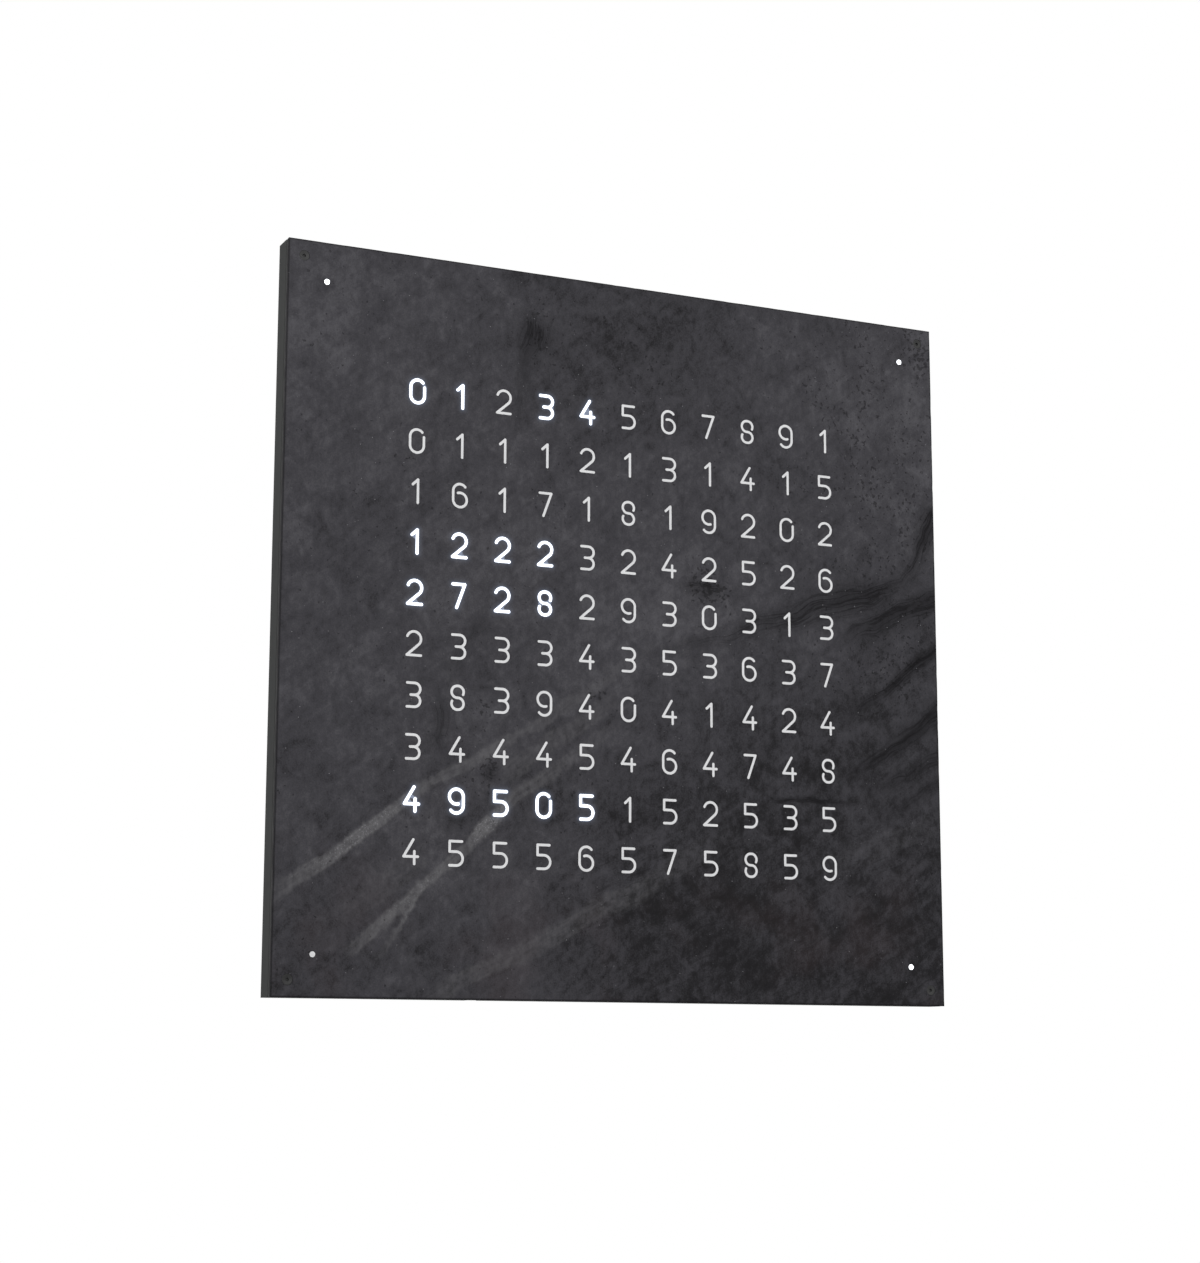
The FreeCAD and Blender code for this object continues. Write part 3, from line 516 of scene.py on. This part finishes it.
def insideLoop(loop, x, z):
    # Even-odd test for points in a closed outline
    inside = np.zeros(len(x), bool)
    ax, az = loop[:, 0], loop[:, 1]
    bx, bz = np.roll(ax, -1), np.roll(az, -1)
    box = (x >= ax.min()) & (x <= ax.max()) & (z >= az.min()) & (z <= az.max())
    index = np.nonzero(box)[0]
    px, pz = x[index][:, None], z[index][:, None]
    crosses = (az > pz) != (bz > pz)
    rise = np.where(bz == az, 1, bz - az)
    at = ax + (pz - az) * (bx - ax) / rise
    inside[index] = (np.sum(crosses & (px < at), axis=1) % 2) == 1
    return inside


def alongLoop(loop, step):
    # Points along a closed outline, no further apart than a step, with the direction at each
    ahead = np.roll(loop, -1, axis=0)
    spots = []
    ways = []
    for a, b in zip(loop, ahead):
        length = math.hypot(*(b - a))
        parts = max(1, math.ceil(length / step))
        shares = (np.arange(parts) + 0.5) / parts
        spots.append(a + shares[:, None] * (b - a))
        ways.append(np.repeat([(b - a) / length], parts, axis=0))
    return np.concatenate(spots), np.concatenate(ways)


def plateOutline(reach, step):
    # Points round a square, from its lower left corner, anticlockwise as seen from the front
    count = round(2 * reach / step)
    side = -reach + 2 * reach * np.arange(count) / count
    full = np.full(count, reach)
    sides = [(side, -full), (full, side), (-side, full), (-full, -side)]
    return np.concatenate([np.stack(pair, 1) for pair in sides])


def fillPlate(outline, loops, extra):
    # Triangles that fill an outline with openings, as points and corner numbers
    points = [outline] + loops + ([extra] if len(extra) else [])
    edges = []
    start = 0
    for ring in [outline] + loops:
        index = np.arange(len(ring)) + start
        edges += list(zip(index.tolist(), np.roll(index, -1).tolist()))
        start += len(ring)
    flat = [Vector(p) for p in np.concatenate(points).tolist()]
    made = delaunay_2d_cdt(flat, edges, [], 0, weldGap)
    spots = np.array([tuple(v) for v in made[0]])
    faces = np.array(made[2])
    middle = spots[faces].mean(axis=1)
    a, b, c = spots[faces[:, 0]], spots[faces[:, 1]], spots[faces[:, 2]]
    turn = (b[:, 0] - a[:, 0]) * (c[:, 1] - a[:, 1]) - (b[:, 1] - a[:, 1]) * (c[:, 0] - a[:, 0])
    faces[turn < 0] = faces[turn < 0][:, ::-1]
    keep = insideLoop(outline, middle[:, 0], middle[:, 1]) & (np.abs(turn) > sliver)
    for loop in loops:
        keep &= ~insideLoop(loop, middle[:, 0], middle[:, 1])
    return spots, faces[keep]


def distanceTo(spots):
    # A function that gives the distance from any points to the nearest of these spots
    tree = KDTree(len(spots))
    for index, (x, z) in enumerate(spots.tolist()):
        tree.insert((x, 0, z), index)
    tree.balance()

    def measure(x, z):
        return np.array([tree.find((a, 0, b))[2] for a, b in zip(x.tolist(), z.tolist())])

    return measure


def readSlate():
    # The solid's points, its sizes, the openings of its two faces and the walls between them
    points, triangles = nodeTriangles("slate_plate")
    size = {"reach": points[:, 0].max(), "front": points[:, 1].min(), "back": points[:, 1].max()}
    y = points[triangles][:, :, 1]
    onFront = (y < size["front"] + touch).all(axis=1)
    onBack = (y > size["back"] - touch).all(axis=1)
    outermost = np.abs(points[triangles][:, :, [0, 2]]) > size["reach"] - touch
    onSide = outermost.all(axis=1).any(axis=1) & ~onFront & ~onBack

    def openings(mask):
        loops = [points[loop][:, [0, 2]] for loop in borderLoops(triangles[mask])]
        return [loop for loop in loops if np.abs(loop).max() < size["reach"] - touch]

    walls = triangles[~(onFront | onBack | onSide)]
    return points, size, openings(onFront), openings(onBack), walls


def facePoints(look, reach, cuts, cutDistance):
    # Points inside the face: a rim round each cut, the dressed edge and a shaken grid
    rims = []
    for loop in cuts:
        spots, ways = alongLoop(loop, look["rimStep"])
        away = np.stack([-ways[:, 1], ways[:, 0]], 1)
        rims.append(spots + away * look["rimWidth"])
    rims = np.concatenate(rims)
    rims = rims[cutDistance(rims[:, 0], rims[:, 1]) > look["rimClear"] * look["rimWidth"]]
    innerEdge = plateOutline(reach - look["edgeWidth"], look["gridStep"])
    count = int(2 * reach / look["gridStep"]) - 1
    row = (np.arange(count) - (count - 1) / 2) * look["gridStep"]
    grid = np.stack([g.ravel() for g in np.meshgrid(row, row)], 1)
    shake = np.random.RandomState(look["seed"]).uniform(-1, 1, grid.shape)
    grid = grid + shake * look["jitter"] * look["gridStep"]
    grid = grid[np.abs(grid).max(axis=1) < reach - look["gridInset"] * look["edgeWidth"]]
    grid = grid[cutDistance(grid[:, 0], grid[:, 1]) > look["gridClear"]]
    for loop in cuts:
        grid = grid[~insideLoop(loop, grid[:, 0], grid[:, 1])]
    return np.concatenate([rims, innerEdge, grid])


def rimDepth(look, x, z):
    return look["rimDepth"] * (1 + look["rimUneven"] * fractal(x, z, look["rimNoise"], 2, look["seed"] + 60))


def faceDepth(look, reach, x, z, cutDistance):
    # How far each point of the face lies behind the solid's flat front; raised points are negative
    seed = look["seed"]
    away = cutDistance(x, z)
    fromEdge = reach - np.maximum(np.abs(x), np.abs(z))
    turn = math.radians(look["rippleTurn"])
    u, v = x * math.cos(turn) + z * math.sin(turn), z * math.cos(turn) - x * math.sin(turn)
    ripple = fractal(u / look["rippleStretch"], v, look["rippleSize"], 3, seed + 80)
    ripple *= smooth(x - look["rippleLean"] * z, *look["rippleGrow"])
    swell = fractal(x, z, look["swellSize"], 4, seed + 90) + look["rippleShare"] * ripple
    level = look["relief"] * swell + look["ledge"] * veinLayers(x, z, veinLook, seed)[1]
    level *= smooth(away, *look["cutCalm"]) * smooth(fromEdge, *look["edgeCalm"])
    chipped = smooth(fractal(x, z, look["chipSize"], 3, seed + 70), *look["chipRange"])
    chip = look["edgeDepth"] + look["edgeChip"] * chipped
    depth = -level + chip * smooth(fromEdge, look["edgeReach"] * look["edgeWidth"], 0)
    return np.where(away < look["onCut"], rimDepth(look, x, z), depth)


def plateSides(look, reach, outline, rim, backY):
    # Rows of points from the rim of the face to the back, and the triangles between them
    rows = [rim]
    for share in look["sideRows"]:
        flat = outline.copy()
        shifted = flat[:, 0] + look["sideShift"] * share
        grain = fractal(shifted, flat[:, 1], look["sideNoise"], 3, look["seed"] + 75)
        rough = look["sideRough"] + look["sideRough"] * grain
        flat -= np.sign(flat) * (np.abs(flat) > reach - touch) * rough[:, None]
        deep = rim[:, 1] * (1 - share) + backY * share
        rows.append(np.stack([flat[:, 0], deep, flat[:, 1]], 1))
    index = np.arange(len(outline))
    ahead = np.roll(index, -1)
    faces = []
    for upper in range(len(rows) - 1):
        a, b = upper * len(outline), (upper + 1) * len(outline)
        faces.append(np.stack([a + index, b + index, b + ahead], 1))
        faces.append(np.stack([a + index, b + ahead, a + ahead], 1))
    return rows, np.concatenate(faces)


def joinGroups(groups):
    # One mesh from groups of points and triangles, with shared points merged
    allPoints, allFaces, start = [], [], 0
    for points, faces in groups:
        allPoints.append(points)
        allFaces.append(faces + start)
        start += len(points)
    merged, places = np.unique(np.round(np.concatenate(allPoints), 4), axis=0, return_inverse=True)
    corners = places.ravel()[np.concatenate(allFaces)]
    a, b, c = corners[:, 0], corners[:, 1], corners[:, 2]
    corners = corners[(a != b) & (b != c) & (c != a)]
    used, corners = np.unique(corners, return_inverse=True)
    return merged[used], corners.reshape(-1, 3)


def buildSlate(look, material):
    points, size, frontCuts, backCuts, walls = readSlate()
    reach, frontY, backY = size["reach"], size["front"], size["back"]
    cutDistance = distanceTo(np.concatenate([alongLoop(loop, look["cutStep"])[0] for loop in frontCuts]))
    outline = plateOutline(reach, look["gridStep"])
    spots, faces = fillPlate(outline, frontCuts, facePoints(look, reach, frontCuts, cutDistance))
    print("slate face:", len(spots), "points,", len(frontCuts), "openings")

    x, z = spots[:, 0], spots[:, 1]
    front = np.stack([x, frontY + faceDepth(look, reach, x, z, cutDistance), z], 1)
    rows, rowFaces = plateSides(look, reach, outline, front[:len(outline)], backY)
    backSpots, backFaces = fillPlate(rows[-1][:, [0, 2]], backCuts, np.empty((0, 2)))
    back = np.stack([backSpots[:, 0], np.full(len(backSpots), backY), backSpots[:, 1]], 1)
    top = points[:, 1] < frontY + touch
    points[top, 1] = frontY + rimDepth(look, points[top, 0], points[top, 2])
    merged, corners = joinGroups([
        (front, faces), (np.concatenate(rows), rowFaces), (back, backFaces[:, ::-1]), (points, walls)])
    piece = addPiece("slateFront", (merged * mm).tolist(), corners.tolist(), material,
                     "front_cover", ["slate_plate"])
    markSlate(look, piece, reach, merged[:, 0], merged[:, 2])


def markSlate(look, piece, reach, x, z):
    # What the finish has to know at each point
    marks = veinLayers(x, z, veinLook, look["seed"])[0]
    marks["tone"] = np.full(len(x), look["plainTone"])
    marks["pitting"] = smooth(x, *look["pitAcross"]) * smooth(z, *look["pitUp"])
    for name, patches in (("tone", toneAndShadePatches), ("pitting", fleckPatches)):
        for (px, pz), wide, change in patches:
            marks[name] += change * np.exp(-((x - px) ** 2 + (z - pz) ** 2) / wide ** 2)
    marks["litDistance"] = np.minimum(litDistance(look, x, z), look["farthest"])
    marks["edgeDistance"] = np.minimum(reach - np.maximum(np.abs(x), np.abs(z)), look["farthest"])
    for name, values in marks.items():
        layer = piece.data.attributes.new(name, "FLOAT", "POINT")
        layer.data.foreach_set("value", np.asarray(values, np.float32))


def litDistance(look, x, z):
    # Distance to the nearest lit number, for the painted bloom round it
    points, triangles = nodeTriangles("number_inlays_lit")
    front = (points[triangles][:, :, 1] < points[:, 1].min() + touch).all(axis=1)
    loops = borderLoops(triangles[front])
    spots = np.concatenate([alongLoop(points[loop][:, [0, 2]], look["litStep"])[0] for loop in loops])
    return distanceTo(spots)(x, z)


def slateFinish():
    look = {
        "dark": linear(29, 28, 30), "plain": linear(62, 61, 65), "pale": linear(84, 83, 87),
        "vein": linear(20, 19, 21), "band": linear(102, 101, 103), "warm": linear(70, 56, 56),
        "pit": linear(22, 21, 22), "spark": linear(200, 200, 204), "grit": linear(160, 160, 164),
        "paintedBloom": (0.62, 0.74, 1.0, 1),
        # Sizes in millimetres and turns in degrees
        "cloudSize": 46, "patchSize": 15, "mottleSize": 5, "fineSize": 0.9, "streakSize": 5, "streakTurn": 37,
        "warmSize": 55, "bandLine": 2.2, "veinLine": 3.4, "pitSize": 2.6, "pitCluster": 30, "wispSize": 2.6,
        "wispTurn": 24, "sparkSize": 2.2, "glowEdge": 0.7, "glowReach": 5.0, "edgeLine": (1.3, 0.2),
        # How much each noise moves the shade
        "cloudPull": 0.7, "patchPull": 1.0, "mottlePull": 0.8, "finePull": 0.7, "streakPull": 0.5,
        # Values between which a mark comes in; those with Up or Across are places on the plate
        "warmRange": (0.48, 0.7), "warmUp": (-110, -190), "lineRange": (0.3, 0.72),
        "mottleRange": (0.35, 0.7), "gritRange": (0.54, 0.68), "gritBody": (0.72, 1.05),
        "patchRange": (0.35, 0.65), "creaseRange": (0.05, 0.0), "creaseBody": (0.15, 0.6),
        "ridgeRange": (0.55, 0.72), "ridgeBody": (0.1, 0.5), "pitRange": (0.695, 0.76),
        "wispRange": (0.56, 0.68), "wispUp": (-80, -140), "wispAcross": (-90, 0),
        "sparkRange": (0.16, 0.05), "sparkChance": (0.984, 0.992), "sparkBody": (0.75, 1.1),
        # Shades between which a colour takes over, and shares of it
        "plainRange": (-0.1, 0.56), "paleRange": (0.44, 1.1), "bandRange": (0.02, 1.15),
        "warmShare": 0.14, "gritShare": 0.42, "veinShadeShare": 0.68, "creaseShare": 0.7, "ridgeShare": 0.15,
        "pitShare": 0.55, "wispShare": 0.35, "sparkShare": 0.5, "edgeShare": 0.8,
        "rough": 0.6, "gloss": 0.08, "glowNear": 0.9, "glowFar": 0.07, "glowStrength": 0.6,
        "coarseDepth": 0.3, "fineDepth": 0.07,
    }
    f = Finish("rivenSlate")
    here = f.place()
    x, z = f.split(here, 0), f.split(here, 2)
    cloud = f.noise(here, look["cloudSize"], 4, 0.6, 0.5)
    patch = f.noise(here, look["patchSize"], 4, 0.6, 0.8)
    mottle = f.noise(f.place(stretch=(1.25, 1, 0.8)), look["mottleSize"], 4, 0.62)
    fine = f.noise(here, look["fineSize"], 3, 0.65)
    grain = f.place(turn=(0, look["streakTurn"], 0), stretch=(0.16, 1, 1))
    streak = f.noise(grain, look["streakSize"], 4, 0.6, 0.5)
    # The tone mark holds the slate's own tone together with the painted shade and light of the broad patches
    shade = (cloud - 0.5) * look["cloudPull"] + (patch - 0.5) * look["patchPull"]
    shade = shade + (mottle - 0.5) * look["mottlePull"] + (fine - 0.5) * look["finePull"]
    shade = shade + (streak - 0.5) * look["streakPull"] + f.mark("tone")

    warmth = f.fit(f.noise(here, look["warmSize"], 3), *look["warmRange"]) * f.fit(z, *look["warmUp"])
    bandLines = f.noise(f.pair(f.mark("bandAcross"), f.mark("bandAlong") * 0.09), look["bandLine"], 2, 0.5)
    body = f.mark("bandBody")
    broken = f.fit(bandLines, *look["lineRange"]) * 0.25 + f.fit(mottle, *look["mottleRange"]) * 0.35
    band = body * (0.5 + broken)
    grit = f.fit(fine, *look["gritRange"]) * f.fit(body, *look["gritBody"])
    veinLines = f.noise(f.pair(f.mark("veinAcross"), f.mark("veinAlong") * 0.05), look["veinLine"], 4, 0.6)
    crease = f.fit(f.maths("ABSOLUTE", veinLines - 0.5, 0), *look["creaseRange"])
    vein = f.mark("veinBody")
    ridge = f.fit(veinLines, *look["ridgeRange"]) * f.fit(vein, *look["ridgeBody"])
    clusters = (f.noise(here, look["pitCluster"], 2) - 0.5) * 0.3
    pits = f.noise(here, look["pitSize"], 3, 0.55) + f.mark("pitting") * 0.075 + clusters
    pits = f.fit(pits, *look["pitRange"])
    wisps = f.place(turn=(0, look["wispTurn"], 0), stretch=(0.22, 1, 1))
    wisps = f.fit(f.noise(wisps, look["wispSize"], 3, 0.5, 0.4), *look["wispRange"])
    wisps = wisps * f.fit(z, *look["wispUp"]) * f.fit(x, *look["wispAcross"])
    chance = f.split(f.cells(here, look["sparkSize"], "Color"), 1)
    chance = chance + f.fit(band, *look["sparkBody"]) * 0.35
    sparks = f.fit(f.cells(here, look["sparkSize"]), *look["sparkRange"])
    sparks = sparks * f.fit(chance, *look["sparkChance"])

    colour = f.mix(f.fit(shade, *look["plainRange"]), look["dark"], look["plain"])
    for share, tint in (
        (f.fit(shade, *look["paleRange"]), "pale"),
        (warmth * look["warmShare"], "warm"),
        (f.fit(band, *look["bandRange"]), "band"),
        (grit * look["gritShare"], "grit"),
        # The dark vein colour is partly the stone's own and partly painted shade of the fold; the crease
        # lines are the stone's dark lines with painted shade in the creases, and the ridge streaks are
        # painted light on the ridges
        (vein * (look["veinShadeShare"] + f.fit(patch, *look["patchRange"]) * 0.3), "vein"),
        (f.fit(vein, *look["creaseBody"]) * crease * look["creaseShare"], "vein"),
        (ridge * look["ridgeShare"], "pale"),
        (pits * look["pitShare"], "pit"),
        (wisps * look["wispShare"], "pit"),
        (sparks * look["sparkShare"], "spark"),
        (f.fit(f.mark("edgeDistance"), *look["edgeLine"]) * look["edgeShare"], "vein"),
    ):
        colour = f.mix(share, colour, look[tint])

    # Painted bloom: the slate round each lit number gives off painted light from the numbers, strongest at
    # the cut and fading over a few millimetres
    near = f.mark("litDistance")
    paintedBloom = f.fit(near, look["glowEdge"], 0.0) * look["glowNear"]
    paintedBloom = paintedBloom + f.fit(near, look["glowReach"], 0.0) ** 2.0 * look["glowFar"]
    height = mottle * 0.8 + patch * 0.8 + streak * 0.5 - pits * 0.9 - crease * vein * 0.6 + band * 0.3
    coarse = f.bump(height, look["coarseDepth"])
    return f.surface({
        "Base Color": colour,
        "Roughness": look["rough"] + (mottle - 0.5) * 0.3 + vein * 0.15,
        "Specular IOR Level": look["gloss"],
        "Emission Color": f.mix(paintedBloom, black, look["paintedBloom"]),
        "Emission Strength": look["glowStrength"],
        "Normal": f.bump(fine, look["fineDepth"], coarse),
    })


buildSlate(slateLook, slateFinish())
print("slate front built")


# Finishes of the pieces that keep their shape from the frame

def opalLitFinish():
    look = {"cool": (0.86, 0.92, 1.0, 1), "cloudSize": 5, "rough": 0.4, "strength": 2.2}
    f = Finish("opalLit")
    cloud = f.noise(f.place(), look["cloudSize"], 2)
    colour = f.mix(cloud, look["cool"], white)
    return f.surface({"Base Color": colour, "Roughness": look["rough"] + cloud * 0.1,
                      "Emission Color": colour, "Emission Strength": look["strength"]})


def opalUnlitFinish():
    look = {
        "low": linear(214, 214, 216), "high": linear(238, 238, 239), "speck": linear(186, 186, 188),
        "cloudSize": 9, "speckSize": 0.5, "rough": 0.42, "gloss": 0.3, "depth": 0.02,
    }
    f = Finish("opalUnlit")
    here = f.place()
    speck = f.noise(here, look["speckSize"], 2)
    colour = f.mix(f.noise(here, look["cloudSize"], 3), look["low"], look["high"])
    colour = f.mix(f.fit(speck, 0.6, 0.75) * 0.3, colour, look["speck"])
    return f.surface({"Base Color": colour, "Roughness": look["rough"] + speck * 0.15,
                      "Specular IOR Level": look["gloss"], "Normal": f.bump(speck, look["depth"])})


# Sizes and depths in millimetres
coatLook = {"cloudSize": 35, "gritShare": 0.6, "range": (0.45, 0.95), "gloss": 0.14}
metalLook = {"lineSize": 0.7, "cloudSize": 12, "range": (0.4, 0.95), "depth": 0.012}
plasticLook = {"cloudSize": 14, "range": (0.4, 0.9)}


def coatFinish(name, low, high, grainSize, depth, rough):
    # Powder coat: fine orange peel over a metal sheet
    f = Finish(name)
    here = f.place()
    cloud = f.noise(here, coatLook["cloudSize"], 3)
    peel = f.noise(here, grainSize, 2, 0.5)
    grit = f.cells(here, grainSize * coatLook["gritShare"])
    colour = f.mix(f.fit(cloud + peel * 0.4, *coatLook["range"]), low, high)
    return f.surface({"Base Color": colour, "Roughness": rough + peel * 0.12,
                      "Specular IOR Level": coatLook["gloss"], "Normal": f.bump(peel + grit * 0.5, depth)})


def metalFinish(name, low, high, rough, stretch=(1, 1, 1), metallic=1.0):
    # Drawn or plated metal with faint streaks and handling marks
    f = Finish(name)
    here = f.place()
    line = f.noise(f.place(stretch=stretch), metalLook["lineSize"], 3, 0.6)
    cloud = f.noise(here, metalLook["cloudSize"], 3)
    colour = f.mix(f.fit(cloud + line * 0.3, *metalLook["range"]), low, high)
    return f.surface({"Base Color": colour, "Metallic": metallic,
                      "Roughness": rough + line * 0.18 + cloud * 0.08,
                      "Normal": f.bump(line, metalLook["depth"])})


def plasticFinish(name, low, high, rough, grainSize=0.5, depth=0.02, gloss=0.4):
    # Moulded plastic with a fine spark-eroded texture
    f = Finish(name)
    here = f.place()
    grain = f.noise(here, grainSize, 2)
    cloud = f.noise(here, plasticLook["cloudSize"], 3)
    colour = f.mix(f.fit(cloud + grain * 0.3, *plasticLook["range"]), low, high)
    return f.surface({"Base Color": colour, "Roughness": rough + grain * 0.12,
                      "Specular IOR Level": gloss, "Normal": f.bump(grain, depth)})


# The lights stand in the middle of the cells; half the distance between two, in millimetres
halfColumn = 14.15
halfRow = 15.5


def boardFinish():
    # White solder mask over copper tracks that run to each light
    look = {
        "mask": gray(226), "track": linear(206, 208, 202), "pad": linear(190, 186, 170), "stain": gray(190),
        "lane": halfRow / 4, "holeStep": 7.1, "bend": 6, "bendSize": 40,  # millimetres
        "laneWidth": (0.45, 0.3), "feedWidth": (0.9, 0.75), "holeWidth": (0.75, 0.55),
        "stainSize": 22, "stainShare": 0.16, "rough": 0.34, "gloss": 0.4, "depth": 0.04,
    }
    f = Finish("whiteMask")
    here = f.place()
    x, z = f.split(here, 0), f.split(here, 2)
    lane = f.maths("PINGPONG", z + f.noise(here, look["bendSize"], 1) * look["bend"], look["lane"])
    feed = f.maths("PINGPONG", x + halfColumn, halfColumn)
    tracks = f.maths("MAXIMUM", f.fit(lane, *look["laneWidth"]), f.fit(feed, *look["feedWidth"]))
    hole = f.maths("PINGPONG", x + look["holeStep"], look["holeStep"])
    holes = f.fit(f.maths("MAXIMUM", hole, lane), *look["holeWidth"])
    colour = f.mix(tracks, look["mask"], look["track"])
    colour = f.mix(holes, colour, look["pad"])
    colour = f.mix(f.noise(here, look["stainSize"], 3) * look["stainShare"], colour, look["stain"])
    return f.surface({"Base Color": colour, "Roughness": look["rough"] + tracks * 0.06,
                      "Specular IOR Level": look["gloss"],
                      "Normal": f.bump(tracks + holes * 0.5, look["depth"])})


def lightFinish():
    # Square white package with a round yellow phosphor in the middle
    look = {
        "low": gray(206), "high": gray(236), "phosphor": linear(224, 196, 84),
        "wellEdge": (1.9, 1.75), "grainSize": 0.4, "rough": 0.45, "gloss": 0.5, "depth": 0.12,
    }
    f = Finish("lightPackage")
    here = f.place()
    across = f.maths("PINGPONG", f.split(here, 0), halfColumn)
    up = f.maths("PINGPONG", f.split(here, 2) + halfRow, halfRow)
    away = f.maths("POWER", across * across + up * up, 0.5)
    grain = f.noise(here, look["grainSize"], 2)
    well = f.fit(away, *look["wellEdge"])
    colour = f.mix(grain * 0.2, look["high"], look["low"])
    colour = f.mix(well, colour, look["phosphor"])
    return f.surface({"Base Color": colour, "Roughness": look["rough"] - well * 0.3,
                      "Specular IOR Level": look["gloss"],
                      "Normal": f.bump(grain * 0.1 - well, look["depth"])})


slotFinishes = {
    "opal_lit": opalLitFinish(),
    "opal_unlit": opalUnlitFinish(),
    "cover_carrier": coatFinish("anodisedCarrier", gray(56), gray(64), 0.8, 0.01, 0.45),
    "diffuser": plasticFinish("satinOpalSheet", gray(226), gray(238), 0.45, 0.8, 0.01),
    "magnet_plating": metalFinish("nickelPlate", gray(186), gray(206), 0.14),
    "black_screw": metalFinish("blackenedScrew", gray(46), gray(62), 0.5, metallic=0.6),
    "rail_finish": coatFinish("powderCoatRail", linear(52, 53, 53), linear(58, 59, 58), 0.9, 0.03, 0.6),
    "panel_finish": coatFinish("powderCoatPanel", gray(38), gray(48), 1.1, 0.06, 0.52),
    "key_steel": metalFinish("zincSteel", gray(158), gray(186), 0.3, (0.1, 1, 1)),
    "screw_steel": metalFinish("zincScrew", gray(150), gray(184), 0.24),
    "pad_rubber": plasticFinish("padRubber", gray(26), gray(36), 0.75, 0.7, 0.03, 0.25),
    "board_laminate": boardFinish(),
    "light_body": lightFinish(),
    "light_grid": plasticFinish("whiteMoulding", gray(214), gray(230), 0.5),
    "black_plastic": plasticFinish("blackMoulding", gray(28), gray(38), 0.42),
    "socket_plastic": plasticFinish("naturalNylon", linear(206, 200, 184), linear(220, 216, 204), 0.4),
    "key_plastic": plasticFinish("satinKey", gray(50), gray(60), 0.42, 0.4, 0.012),
    "plunger_plastic": plasticFinish("plungerPlastic", gray(34), gray(44), 0.35),
    "spacer_brass": metalFinish("nickelBrass", linear(196, 178, 130), linear(214, 200, 160), 0.22, (1, 6, 1)),
    "wire_jacket": plasticFinish("wireJacket", gray(30), gray(42), 0.4),
    "crystal_can": metalFinish("brightCan", gray(190), gray(212), 0.16),
    "capacitor_sleeve": plasticFinish("darkSleeve", linear(26, 28, 44), linear(34, 36, 54), 0.25),
    "inlet_plating": metalFinish("pinPlate", gray(196), gray(214), 0.12),
}
for part in frame["record"]["subparts"]:
    if part["material_slot"] in slotFinishes:
        mesh = frame["nodes"][part["node"]].data
        mesh.materials.clear()
        mesh.materials.append(slotFinishes[part["material_slot"]])
print("finishes set on", len(slotFinishes), "slots")


bpy.context.view_layer.update()
